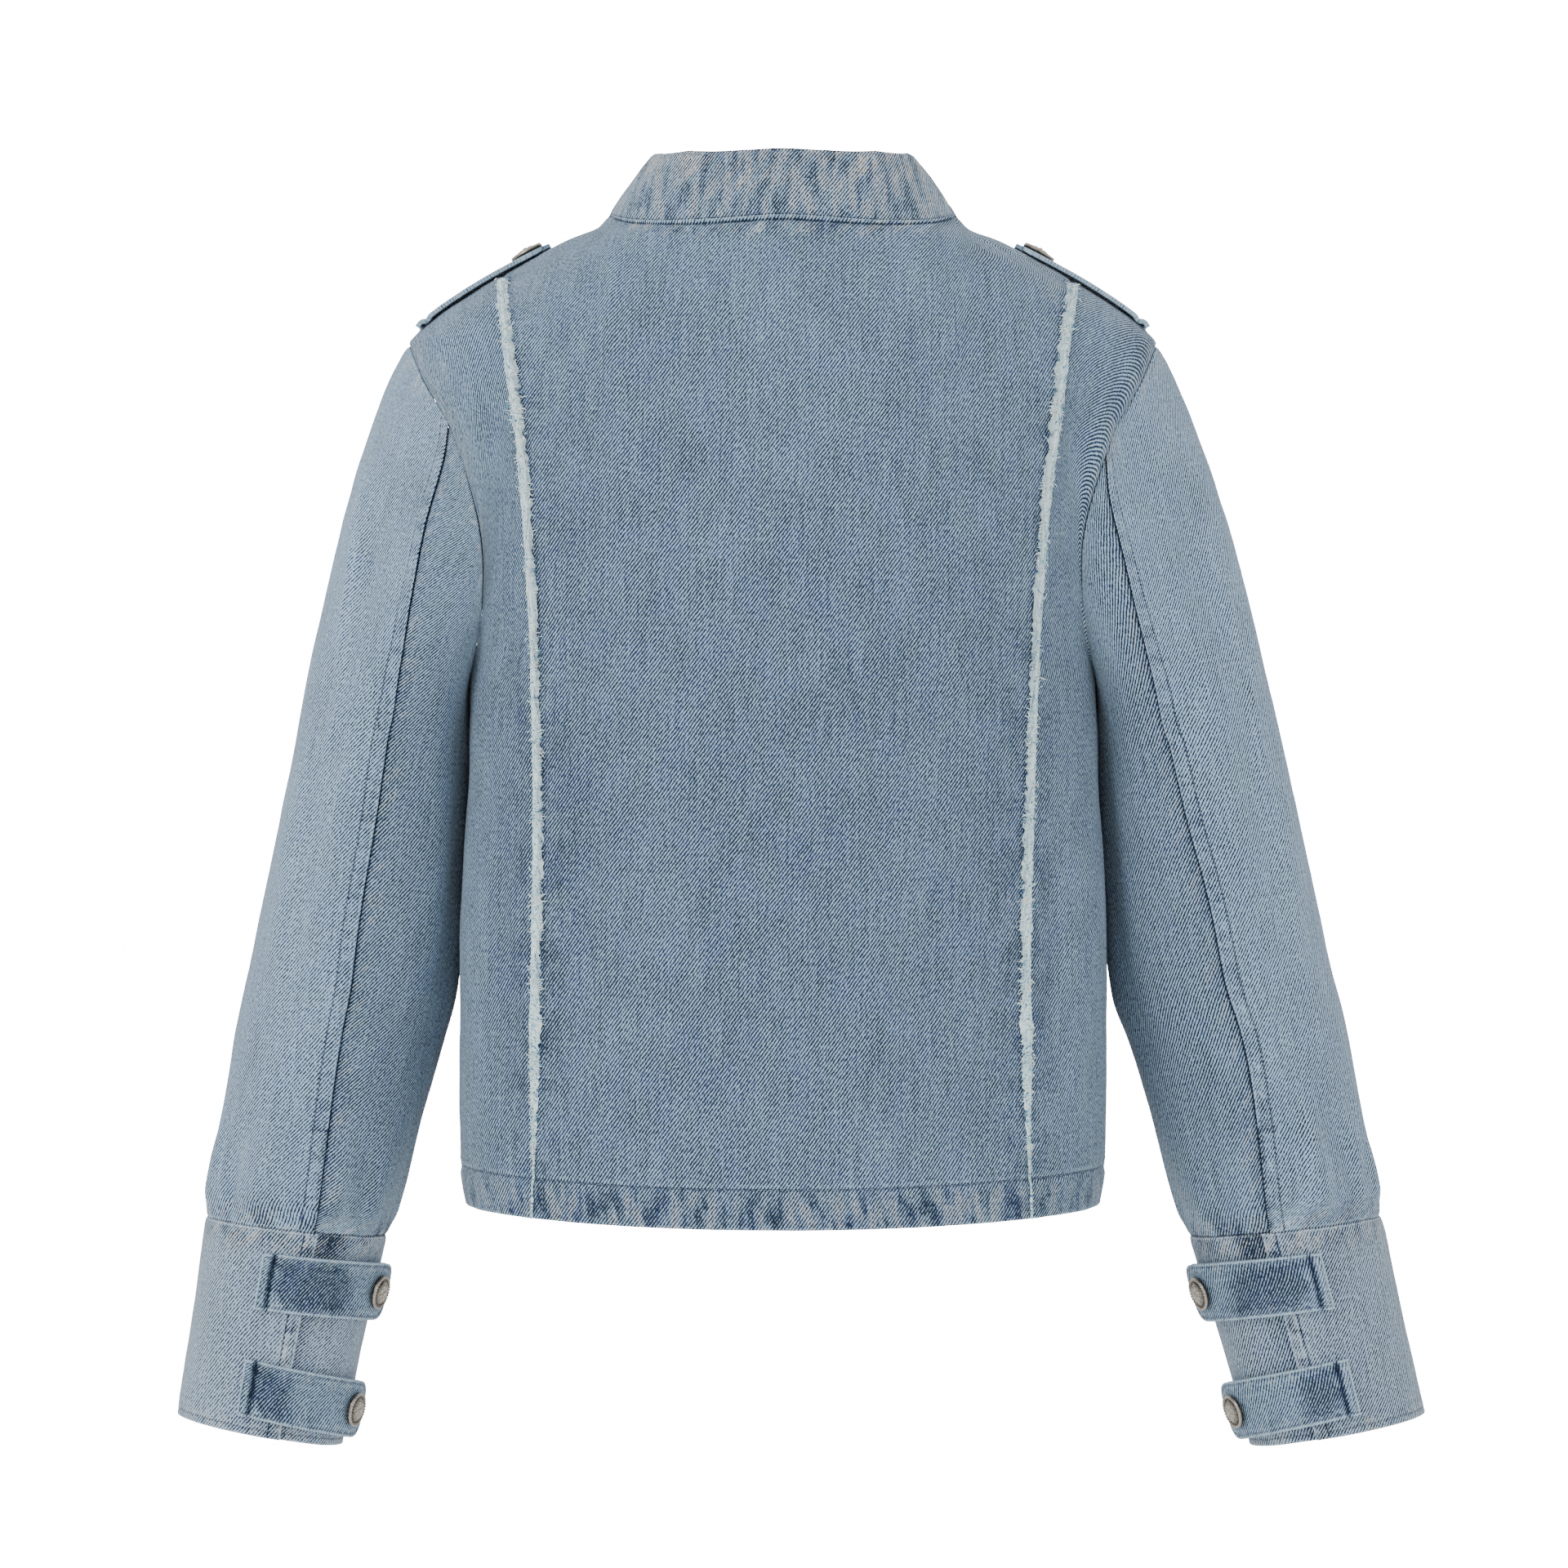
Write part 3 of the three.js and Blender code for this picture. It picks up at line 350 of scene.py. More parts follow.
# Soft folds: turn about the sleeve, start and end down it, drift, half width, height
sleeveFolds = [
    (24, 0.15, 1.5, 10, 15, 2.6), (52, 0.35, 1.7, 6, 11, -1.8), (128, 0.5, 1.6, 14, 14, 2.4),
    (160, 0.9, 1.8, -12, 12, -2.2), (-40, 0.3, 1.5, -8, 15, 2.4), (-95, 0.8, 1.75, 16, 12, -2.4),
    (-70, 1.1, 1.9, -14, 12, 2.2),
]
# Gathers above the cuff: turn, half width, height
cuffGathers = [
    (22, 7, 3.2), (46, 6, -2.4), (66, 7, 3), (142, 8, 2.2), (168, 8, -1.8),
    (-30, 8, 2), (-62, 8, -2), (-96, 9, 2),
]


def headStart(turn):
    top = (1 + np.cos(turn)) / 2
    return unit(stack(mix(0.3, 0.68, top), 0, -1))


def sleeveRing(turn, z, side):
    name = sideNames[side]
    wide = read(sleeve, "wide" + name.capitalize(), z) * np.cos(turn)
    behind = read(sleeve, "deep", z) * np.sin(turn)
    return stack(
        read(sleeve, name, z) + wide, read(sleeve, "y", z) + behind,
        z + read(sleeve, "climb", z) * wide + 0.02 * behind)


def plainSleeve(turn, t, side):  # t runs 0 to 1 over the head and 1 to 2 down to the cuff seam
    turn, t = np.broadcast_arrays(turn, t)
    low = sleeveRing(turn, mix(arm["bicep"], arm["cuffSeam"], np.clip(t - 1, 0, 1)), side)
    start, end = armholePoint(turn, side), sleeveRing(turn, arm["bicep"], side)
    span = np.linalg.norm(end - start, axis=-1, keepdims=True)
    endAlong = unit(sleeveRing(turn, arm["bicep"] - 4, side) - end) * span
    startAlong = headStart(turn) * 0.6 * span
    s = np.clip(t, 0, 1)[..., None]
    head = start * (1 + 2 * s) * (1 - s) ** 2 + startAlong * s * (1 - s) ** 2
    head = head + end * s * s * (3 - 2 * s) + endAlong * s * s * (s - 1)
    return np.where(t[..., None] >= 1, low, head)


def sleeveNormal(turn, t, side):
    z = mix(arm["bicep"], arm["cuffSeam"], np.clip(t - 1, 0, 1))
    lowCentre = stack(read(sleeve, sideNames[side], z), read(sleeve, "y", z), z)
    quarters = [plainSleeve(np.full_like(t, quarter * np.pi / 2), t, side) for quarter in range(4)]
    inside = np.where(t[..., None] > 1, lowCentre, sum(quarters) / 4)
    t = np.clip(t, 0.02, 1.98)
    return outwardOf(lambda a, b: plainSleeve(a, b, side), turn, t, 0.03, 0.015, inside)


def turnBetween(a, b):
    return np.mod(a - b + 540, 360) - 180


def sleeveLift(turn, t):
    turned = turn / degree
    lift = 2.6 * smoothStep(1.7, 1.93, t) * (1 - smoothStep(1.94, 2, t))
    for middle, start, end, drift, wide, high in sleeveFolds:
        reach = smoothStep(start, start + 0.3, t) * (1 - smoothStep(end - 0.35, end, t))
        lift = lift + high * reach * bell(turnBetween(turned, middle + drift * (t - start)), wide)
    gathered = smoothStep(1.68, 1.92, t) * (1 - 0.75 * smoothStep(1.93, 2, t))
    for middle, wide, high in cuffGathers:
        lift = lift + high * gathered * bell(turnBetween(turned, middle), wide)
    return lift * (t > 0)


def sleeveShape(side, under):
    def shape(u, v):
        t = 2 * (1 - v)
        back = read(sleeveBackSeam, sideNames[side], -t) * degree
        front = mix(arm["frontSeam"], arm["frontSeamEnd"], smoothStep(0, 2, t))
        turn = mix(back, front + 2 * np.pi, u) if under else mix(front, back, u)
        out = sleeveNormal(turn, t, side)
        at = plainSleeve(turn, t, side) + out * sleeveLift(turn, t)[..., None]
        return at * [side, 1, 1], out * [side, 1, 1]
    return shape


# Cuffs, straps, collar and shoulder tabs
cuff = {"thick": 2.4, "opening": 109 * degree, "overlap": 26 * degree, "proud": 0.4, "layerGap": 0.35}
strapCut = {
    "start": 78 * degree, "wide": 31, "long": 90, "gap": 0.6, "tip": 15.5, "wrist": 50, "tipLift": 4.6,
    "foldHigh": 1.1, "foldEnds": (5.6, 4.8),
}
cuffStraps = {"upper": {"below": 13, "drop": 0}, "lower": {"below": 72, "drop": 6}}


def cuffSpot(wound, down, side):
    turn = cuff["opening"] - wound
    z = mix(arm["cuffSeam"], arm["cuffEnd"], down)
    inside = stack(read(sleeve, sideNames[side], z), read(sleeve, "y", z), z)
    out = outwardOf(lambda a, b: sleeveRing(a, b, side), turn, z, 0.05, 1, inside)
    under = smoothStep(2 * np.pi - 0.65, 2 * np.pi - 0.12, wound)
    high = cuff["proud"] - under * (cuff["thick"] + cuff["layerGap"])
    return sleeveRing(turn, z, side) + out * high[..., None], out


def cuffShape(side):
    def shape(u, v):
        at, out = cuffSpot(u * (2 * np.pi + cuff["overlap"]), 1 - v, side)
        return at * [side, 1, 1], out * [side, 1, 1]
    return shape


def strapShape(strap, side):
    def shape(u, v):
        reached = u * strapCut["long"]
        left, tip = strapCut["long"] - reached, strapCut["tip"]
        narrow = np.where(left < tip, np.sqrt(np.maximum(0.05, 1 - ((tip - left) / tip) ** 2)), 1)
        offCentre = (0.5 - v) * strapCut["wide"] * narrow
        deep = arm["cuffSeam"] - arm["cuffEnd"]
        down = (strap["below"] + strapCut["wide"] / 2 + strap["drop"] * u + offCentre) / deep
        at, out = cuffSpot(cuff["opening"] - strapCut["start"] - reached / strapCut["wrist"], down, side)
        foldedEnd = strapCut["foldHigh"] * smoothStep(*strapCut["foldEnds"], reached)
        high = strapCut["gap"] + cuff["thick"] + strapCut["tipLift"] * smoothStep(0.45, 1, u) + foldedEnd
        return (at + out * high[..., None]) * [side, 1, 1], out * [side, 1, 1]
    return shape


# The collar leans in by other amounts at the back, the front and the sides, in degrees
collar = {
    "half": 178 * degree, "high": 43, "leanBack": 20, "leanFront": 12, "leanSide": 35,
    "middleDip": 4.4, "cornerDip": 2.6, "corner": 94, "endRound": 10, "endFrom": 168,
}


def collarShape(u, v):
    turn = mix(-collar["half"], collar["half"], u)
    foot = plainTorso(*neckLine(turn))
    facing = np.where(np.cos(turn) > 0, collar["leanBack"], collar["leanFront"])
    lean = mix(facing, collar["leanSide"], np.abs(np.sin(turn)) ** 2) * degree
    level = unit(stack(np.sin(turn) / body["neckHalfWidth"], np.cos(turn) / body["neckFrontReach"], 0))
    sine, cosine = np.sin(lean)[..., None], np.cos(lean)[..., None]
    rising = level * -sine + np.array([0, 0, 1]) * cosine
    out = level * cosine + np.array([0, 0, 1]) * sine
    fromEnd = np.clip((np.abs(turn) / degree - collar["endFrom"]) / collar["endRound"], 0, 1)
    middle = 1 - np.minimum(1, (np.sin(turn) / 0.6) ** 2)
    corner = bell(np.abs(turn) / degree - collar["corner"], 24)
    reach = collar["high"] - collar["middleDip"] * middle - collar["cornerDip"] * corner
    reach = reach - collar["endRound"] * (1 - np.sqrt(1 - fromEnd ** 2))
    rise, belly = mix(-1.2, 0.9 + reach, v), 0.45 + 0.8 * np.sin(np.pi * v)
    return foot + rising * rise[..., None] + out * belly[..., None], out


tab = {
    "outerEnd": 199.5, "innerEnd": 127, "place": -2, "half": 21, "tipHalf": 9, "proud": 2.9,
    "up": (0.5, 0, 0.86),
}


def tabShape(side):
    def shape(u, v):
        x = mix(tab["outerEnd"], tab["innerEnd"], u)
        sideways = tab["place"] + (v - 0.5) * 2 * mix(tab["half"], tab["tipHalf"], smoothStep(0.86, 1, u))
        ridge = overPlan(x, 0.01)[1]
        droop = 0.5 * (overPlan(x, sideways)[1] - ridge)
        up = np.array(tab["up"])
        high = tab["proud"] + 0.5 * np.sin(np.pi * u)
        at = stack(x, sideways, ridge + droop) + up * high[..., None]
        return at * [side, 1, 1], unit(up * [side, 1, 1]) + 0 * x[..., None]
    return shape


# Creases laid one by one, on the back (face 1) or the front (face -1)
# In each: face, x and z of the start, x and z of the end, half width, height
bodyCreases = [
    (1, 190, -95, 150, -180, 7, 1.3), (1, 176, -90, 128, -150, 8, -1.2),
    (1, -192, -92, -152, -176, 7, 1.4), (1, -176, -86, -126, -140, 8, -1.3),
    (1, 90, -14, 70, -60, 6, -0.9), (1, -88, -14, -70, -62, 6, -0.9), (1, 118, -420, 150, -470, 9, 1),
    (1, -120, -430, -152, -500, 9, 1.1), (1, 100, -360, 60, -410, 12, 0.9),
    (1, -90, -340, -50, -400, 12, 0.9), (1, 20, -440, 50, -505, 9, -1), (1, -20, -455, -62, -512, 9, 1),
    (1, 130, -250, 90, -330, 10, 0.8), (1, -128, -240, -88, -330, 10, 0.8),
    (1, 40, -130, -30, -160, 14, 0.6), (1, 171, -74, 162.5, -160, 3.5, 1),
    (1, -177.5, -62, -171, -150, 3.5, 1), (1, 165, -300, 160, -520, 9, 1.4),
    (1, -163, -310, -160, -515, 9, 1.3), (1, 148, -330, 146, -500, 7, -0.9),
    (1, -147, -320, -146, -510, 7, -0.9), (1, 86, -500, 96, -540, 6, 0.8),
    (1, -30, -500, -24, -541, 6, 0.8), (-1, 70, -60, 120, -130, 9, 1.2),
    (-1, -72, -60, -122, -132, 9, 1.2), (-1, 60, -200, 110, -290, 12, 1.2),
    (-1, -60, -210, -112, -300, 12, 1.2), (-1, 40, -330, 90, -420, 12, 1.1),
    (-1, -44, -320, -96, -430, 12, -1), (-1, 150, -120, 120, -200, 9, -1.2),
    (-1, -150, -124, -118, -205, 9, -1.2), (-1, 30, -470, 70, -520, 8, 1),
    (-1, -34, -460, -70, -515, 8, 1), (-1, 120, -400, 150, -480, 9, 1.1),
    (-1, -122, -410, -150, -490, 9, 1.1),
]
sleeveCreases = {
    1: [
        (1, 231, -140, 248, -330, 5, 2.4), (1, 232, -100, 246, -300, 12, 1.2),
        (1, 214, -130, 226, -260, 8, -1.2), (1, 262, -300, 280, -430, 11, 1.3),
        (1, 214, -260, 240, -330, 10, 1.3), (1, 236, -330, 214, -420, 10, -1.3),
        (1, 226, -380, 262, -450, 10, 1.4), (1, 262, -440, 296, -500, 9, 1.2),
        (1, 222, -440, 262, -505, 9, -1.4), (1, 250, -470, 236, -540, 8, 1.6),
        (1, 268, -480, 262, -552, 5, -2), (1, 282, -490, 284, -552, 5, 2),
        (1, 300, -500, 304, -552, 6, -1.5), (1, 240, -500, 246, -552, 5, 1.6),
        (1, 228, -505, 232, -552, 5, -1.4), (-1, 226, -150, 238, -300, 12, 1.5),
        (-1, 210, -240, 250, -320, 10, -1.3), (-1, 230, -360, 268, -440, 11, 1.4),
        (-1, 250, -430, 224, -500, 9, -1.3), (-1, 262, -490, 268, -552, 6, 1.8),
        (-1, 240, -490, 246, -552, 6, -1.5),
    ],
    -1: [
        (1, -244, -110, -262, -330, 5, 2.2), (1, -236, -104, -250, -300, 12, 1.2),
        (1, -216, -130, -228, -260, 8, -1.2), (1, -268, -300, -288, -430, 11, 1.3),
        (1, -216, -250, -244, -330, 10, 1.3), (1, -240, -330, -218, -410, 10, -1.3),
        (1, -232, -380, -268, -450, 10, 1.4), (1, -270, -440, -304, -500, 9, -1.4),
        (1, -228, -440, -268, -505, 9, 1.4), (1, -300, -490, -307, -552, 5, -2.2),
        (1, -288, -480, -290, -552, 5, 2), (1, -270, -490, -270, -552, 6, -1.6),
        (1, -316, -490, -320, -552, 5, 1.6), (1, -250, -500, -254, -552, 5, 1.6),
        (1, -236, -505, -240, -552, 5, -1.4), (-1, -230, -150, -242, -300, 12, 1.5),
        (-1, -214, -240, -254, -320, 10, -1.3), (-1, -234, -360, -272, -440, 11, 1.4),
        (-1, -254, -430, -228, -500, 9, -1.3), (-1, -266, -490, -272, -552, 6, 1.8),
        (-1, -244, -490, -250, -552, 6, -1.5),
    ],
}


def creaseLift(at, out, creases):  # soft uneven ridges and troughs along their lines
    x, z, facing = at[..., 0], at[..., 2], out[..., 1]
    lift = 0 * x
    for number, (face, x1, z1, x2, z2, wide, high) in enumerate(creases):
        runX, runZ = x2 - x1, z2 - z1
        length = math.hypot(runX, runZ)
        share = ((x - x1) * runX + (z - z1) * runZ) / length ** 2
        off = ((x - x1) * runZ - (z - z1) * runX) / length
        along = share * length / 26
        off = off + 0.55 * wide * softNoise(along, number * 3.7, 11)
        ends = smoothStep(-0.1, 0.3, share) * (1 - smoothStep(0.7, 1.1, share))
        uneven = 0.8 + 0.35 * softNoise(along * 1.6, number * 5.3, 12)
        ridge = bell(off, wide * (0.8 + 0.3 * softNoise(along, number * 7.1, 13)))
        lift += high * ridge * ends * uneven * np.clip(face * facing * 1.6, 0, 1)
    return lift


def crumple(across, along, seed):  # the slight unevenness that washing leaves everywhere
    broad = 0.55 * softNoise(across / 38, along / 52, seed)
    middle = 0.22 * softNoise(across / 13, along / 17, seed + 1)
    return broad + middle + 0.07 * softNoise(across / 5, along / 5, seed + 2)


# Builds cloth
def addPiece(name, mesh, material):
    mesh.polygons.foreach_set("use_smooth", [True] * len(mesh.polygons))
    mesh.materials.append(material)
    piece = bpy.data.objects.new(name, mesh)
    bpy.context.collection.objects.link(piece)
    return piece


def packEnds(share, amount):  # brings more lines of the grid to its two ends
    return share - amount * np.sin(2 * np.pi * share) / (2 * np.pi)


def clothSheet(
        name, node, columns, rows, shape, relief, thick, material, near,
        pack=(0.6, 0.3), seed=1, lean=1, washAndShade=None):
    bm = bmesh.new()
    bmesh.ops.create_grid(bm, x_segments=columns, y_segments=rows, size=0.5)
    mesh = bpy.data.meshes.new(name)
    bm.to_mesh(mesh)
    bm.free()
    spots = np.empty(len(mesh.vertices) * 3)
    mesh.vertices.foreach_get("co", spots)
    spots = spots.reshape(-1, 3)[:, :2] + 0.5
    order = np.lexsort((spots[:, 0].round(5), spots[:, 1].round(5)))
    u = packEnds(spots[order, 0].reshape(rows + 1, columns + 1), pack[0])
    v = packEnds(spots[order, 1].reshape(rows + 1, columns + 1), pack[1])
    at, out = shape(u, v)

    stepAcross = np.linalg.norm(np.diff(at, axis=1), axis=-1)
    stepAlong = np.linalg.norm(np.diff(at, axis=0), axis=-1)
    left = np.concatenate([np.zeros((rows + 1, 1)), np.cumsum(stepAcross, axis=1)], axis=1)
    bottom = np.concatenate([np.zeros((1, columns + 1)), np.cumsum(stepAlong, axis=0)], axis=0)
    reach = {"left": left, "right": left[:, -1:] - left, "bottom": bottom, "top": bottom[-1:] - bottom}
    across = left - left[:, -1:] / 2
    distances = {}
    for role in ("fray", "hem", "seam", "lap"):
        edges = [reach[edge] for edge in near.get(role, ())]
        distances[role] = np.minimum.reduce(edges) if edges else np.full(u.shape, far)
    groove = 0 * u
    for edge in ("left", "right", "bottom", "top"):
        if edge in near.get("fray", ()) or edge in near.get("seam", ()):
            groove = groove - 0.8 * bell(reach[edge], 1.3)
    cloth = {"at": at, "out": out, "reach": reach, "across": across, "along": bottom, **distances}
    fromEdge = np.minimum.reduce(list(reach.values()))
    lift = groove + crumple(across, bottom, seed) * smoothStep(0, 12, fromEdge)
    at = at + out * (lift + relief(cloth))[..., None]
    cloth["at"] = at

    places = np.empty((len(order), 3))
    places[order] = at.reshape(-1, 3) * mm
    mesh.vertices.foreach_set("co", places.ravel())
    loops = np.empty(len(mesh.loops), int)
    mesh.loops.foreach_get("vertex_index", loops)
    flat = np.empty((len(order), 2))
    flat[order] = np.stack([across.ravel() * lean, bottom.ravel()], -1) * mm
    mesh.uv_layers.new(name="cloth").data.foreach_set("uv", flat[loops].ravel())
    marks = {"from" + role.capitalize(): distances[role] for role in distances}
    # this mark holds the wash's paler and darker places together with painted shadows and a painted
    # highlight
    marks["washAndShade"] = washAndShade(cloth) if washAndShade else 0 * u
    for mark, given in marks.items():
        values = np.empty(len(order))
        values[order] = given.ravel()
        mesh.attributes.new(mark, "FLOAT", "POINT").data.foreach_set("value", values)
    mesh.update()
    outward = np.empty((len(order), 3))
    outward[order] = out.reshape(-1, 3)
    facing = sum(np.dot(outward[face.vertices[0]], face.normal) for face in list(mesh.polygons)[::7])
    if facing < 0:
        mesh.flip_normals()

    piece = addPiece(name, mesh, material)
    wall = piece.modifiers.new("wall", "SOLIDIFY")
    wall.thickness = thick * mm
    wall.offset = -1
    rim = piece.modifiers.new("rim", "BEVEL")
    rim.width = 0.35 * thick * mm
    rim.segments = 2
    rim.limit_method = "ANGLE"
    rim.angle_limit = 60 * degree
    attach(piece, "root")
    if node:
        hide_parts(node)
    cloth["piece"] = piece
    return cloth


# Distances from the edge of the rows of stitches that also leave a line in the wash
hemStitch = 21.5
frayStitch = 6.2
lapStitch = 7.9


# Node helpers
def setInputs(tree, node, values):
    for key, value in values.items():
        if hasattr(value, "is_linked"):
            tree.links.new(value, node.inputs[key])
        else:
            node.inputs[key].default_value = value


def addNode(tree, kind, values=(), **settings):
    node = tree.nodes.new("ShaderNode" + kind)
    for key, value in settings.items():
        setattr(node, key, value)
    setInputs(tree, node, dict(values))
    return node


def calc(tree, operation, *values):
    return addNode(tree, "Math", dict(enumerate(values)), operation=operation).outputs[0]


def ramp(tree, value, low, high, start=0.0, end=1.0):
    values = {"Value": value, "From Min": low, "From Max": high, "To Min": start, "To Max": end}
    return addNode(tree, "MapRange", values, interpolation_type="SMOOTHSTEP").outputs[0]


def blendColour(tree, share, first, second):  # sockets 6 and 7 are the node's colours
    return addNode(tree, "Mix", {0: share, 6: first, 7: second}, data_type="RGBA").outputs[2]


def noise(tree, place, scale, detail=2.0, rough=0.5):
    values = {"Vector": place, "Scale": scale, "Detail": detail, "Roughness": rough}
    return addNode(tree, "TexNoise", values).outputs[0]


def stretched(tree, place, across, along, move=0.0):
    mapping = addNode(tree, "Mapping", {"Vector": place})
    mapping.inputs["Scale"].default_value = (1 / across, 1 / along, 1)
    mapping.inputs["Location"].default_value = (move, move * 1.7, 0)
    return mapping.outputs[0]


def newGroup(name, inputs, outputs):
    tree = bpy.data.node_groups.new(name, "ShaderNodeTree")
    kinds = {float: "NodeSocketFloat", tuple: "NodeSocketColor", str: "NodeSocketVector"}
    for label, value in inputs.items():
        socket = tree.interface.new_socket(label, in_out="INPUT", socket_type=kinds[type(value)])
        if value != "vector":
            socket.default_value = value
    for label, kind in outputs.items():
        tree.interface.new_socket(label, in_out="OUTPUT", socket_type=kinds[kind])
    return tree, tree.nodes.new("NodeGroupInput").outputs, tree.nodes.new("NodeGroupOutput").inputs


# Node groups shared by the cloth materials. Lengths in them are millimetres along the cloth.
twillPitch = 1.5
twillTree, given, result = newGroup("twillGrain", {"Place": "vector"}, {"Tone": float, "Height": float})
parts = addNode(twillTree, "SeparateXYZ", {0: given["Place"]})
wander = noise(twillTree, stretched(twillTree, given["Place"], 9, 14), 1.0)
rising = calc(twillTree, "MULTIPLY_ADD", parts.outputs[1], 0.72, parts.outputs[0])
wavy = calc(twillTree, "MULTIPLY_ADD", wander, 1.2, rising)
phase = calc(twillTree, "DIVIDE", calc(twillTree, "MULTIPLY", wavy, 2 * math.pi * 0.81), twillPitch)
line = calc(twillTree, "SINE", phase)
yarn = noise(twillTree, stretched(twillTree, given["Place"], 0.7, 1.4), 1.0, 1.0)
slub = noise(twillTree, stretched(twillTree, given["Place"], 1.5, 34, 5.0), 1.0, 2.0)
fleck = noise(twillTree, stretched(twillTree, given["Place"], 1.2, 2.3, 9.0), 1.0, 2.0)
fleck = ramp(twillTree, fleck, 0.36, 0.64)
tone = calc(twillTree, "MULTIPLY_ADD", line, 1.5, calc(twillTree, "MULTIPLY_ADD", yarn, 3.4, -1.7))
tone = calc(twillTree, "ADD", tone, calc(twillTree, "MULTIPLY_ADD", slub, 1.8, -0.9))
tone = calc(twillTree, "ADD", tone, calc(twillTree, "MULTIPLY_ADD", fleck, 1.1, -0.55))
twillTree.links.new(tone, result["Tone"])
height = calc(twillTree, "MULTIPLY_ADD", line, 0.09, calc(twillTree, "MULTIPLY", yarn, 0.22))
twillTree.links.new(height, result["Height"])

ropingTree, given, result = newGroup(
    "seamRoping", {"Along": 0.0, "Off": 0.0, "Size": 6.0, "Slant": 0.3, "Reach": 22.0},
    {"Light": float, "Dark": float, "Height": float})
slid = calc(ropingTree, "MULTIPLY_ADD", given["Off"], given["Slant"], given["Along"])
place = addNode(ropingTree, "CombineXYZ", {
    0: calc(ropingTree, "DIVIDE", slid, given["Size"]), 1: calc(ropingTree, "DIVIDE", given["Off"], 26.0)})
streak = noise(ropingTree, place.outputs[0], 1.0, 1.2, 0.5)
fading = calc(ropingTree, "SUBTRACT", 1.0, ramp(
    ropingTree, calc(ropingTree, "DIVIDE", given["Off"], given["Reach"]), 0.45, 1.0))
light = calc(ropingTree, "MULTIPLY", ramp(ropingTree, streak, 0.48, 0.62), fading)
dark = calc(ropingTree, "MULTIPLY", ramp(ropingTree, streak, 0.5, 0.37), fading)
ropingTree.links.new(light, result["Light"])
ropingTree.links.new(dark, result["Dark"])
swell = calc(ropingTree, "MULTIPLY", calc(ropingTree, "SUBTRACT", streak, 0.5), fading)
ropingTree.links.new(calc(ropingTree, "MULTIPLY", swell, 1.1), result["Height"])

wearTree, given, result = newGroup(
    "edgeWear", {"Place": "vector", "Off": 0.0, "Width": 1.2}, {"Mask": float})
broken = noise(wearTree, stretched(wearTree, given["Place"], 2.4, 2.4), 1.0, 2.0)
ragged = calc(wearTree, "MULTIPLY", given["Width"], calc(wearTree, "MULTIPLY_ADD", broken, 1.4, 0.3))
worn = ramp(wearTree, calc(wearTree, "DIVIDE", given["Off"], ragged), 0.55, 1.0)
wearTree.links.new(calc(wearTree, "SUBTRACT", 1.0, worn), result["Mask"])

ditchTree, given, result = newGroup("stitchDitch", {"Off": 0.0, "At": 2.0, "Width": 0.9}, {"Mask": float})
fromLine = calc(ditchTree, "ABSOLUTE", calc(ditchTree, "SUBTRACT", given["Off"], given["At"]))
beyond = ramp(ditchTree, calc(ditchTree, "DIVIDE", fromLine, given["Width"]), 0.2, 1.0)
ditchTree.links.new(calc(ditchTree, "SUBTRACT", 1.0, beyond), result["Mask"])

washTree, given, result = newGroup("washedTwill", {
    "Place": "vector", "Deep": (0.012, 0.04, 0.093, 1), "Bluer": (0.019, 0.045, 0.14, 1),
    "Faded": (0.35, 0.49, 0.6, 1), "Chalk": (0.54, 0.54, 0.52, 1),
    "Base": 0.28, "Clouds": 0.38, "Wash And Shade": 0.0, "Grain": 0.5,
    "From Fray": far, "From Hem": far, "From Seam": far, "From Lap": far, "Fray Pucker": 1.0,
    "Lap Width": lapStitch, "Ditch Dark": 0.6, "Hem Roping": 1.0, "Hem Size": 6.6, "Hem Slant": -0.12,
    "Hem Reach": 26.0, "Ditch At": hemStitch, "Seam Roping": 0.4, "Seam Reach": 12.0, "Seam Core": 0.7,
    "Seam Rim": 0.3, "Hem Rim": 0.3, "Piping": 0.0,
}, {"Colour": tuple, "Height": float})
parts = addNode(washTree, "SeparateXYZ", {0: given["Place"]})


def placeGroup(tree, group, values):
    return addNode(tree, "Group", values, node_tree=group).outputs


def addShare(tree, mask, amount, tone):  # tone plus a mask times an amount
    return calc(tree, "MULTIPLY_ADD", mask, amount, tone)


grain = placeGroup(washTree, twillTree, {"Place": given["Place"]})
cloud = noise(washTree, stretched(washTree, given["Place"], 46, 64), 1.0, 3.0)
nearCloud = noise(washTree, stretched(washTree, given["Place"], 15, 24, 3.0), 1.0, 2.0)
broken = noise(washTree, stretched(washTree, given["Place"], 3.5, 3.5, 2.0), 1.0, 2.0)
broken = ramp(washTree, broken, 0.3, 0.6)
# the per-point mark adds the wash's paler and darker places and the painted shadows and highlight laid on
# the pieces
tone = calc(washTree, "ADD", given["Base"], given["Wash And Shade"])
tone = addShare(washTree, grain["Tone"], given["Grain"], tone)
tone = addShare(washTree, calc(washTree, "SUBTRACT", cloud, 0.5), given["Clouds"], tone)
tone = addShare(washTree, calc(washTree, "SUBTRACT", nearCloud, 0.5), 0.22, tone)
pucker = placeGroup(washTree, ropingTree, {
    "Along": parts.outputs[1], "Off": given["From Fray"], "Size": 9.0, "Slant": -0.2, "Reach": 24.0})
hemRope = placeGroup(washTree, ropingTree, {
    "Along": parts.outputs[0], "Off": given["From Hem"], "Size": given["Hem Size"],
    "Slant": given["Hem Slant"], "Reach": given["Hem Reach"]})
seamRope = placeGroup(washTree, ropingTree, {
    "Along": calc(washTree, "ADD", parts.outputs[0], parts.outputs[1]), "Off": given["From Seam"],
    "Size": 7.0, "Slant": 0.2, "Reach": given["Seam Reach"]})
swellHeight, chalky = 0.0, 0.0
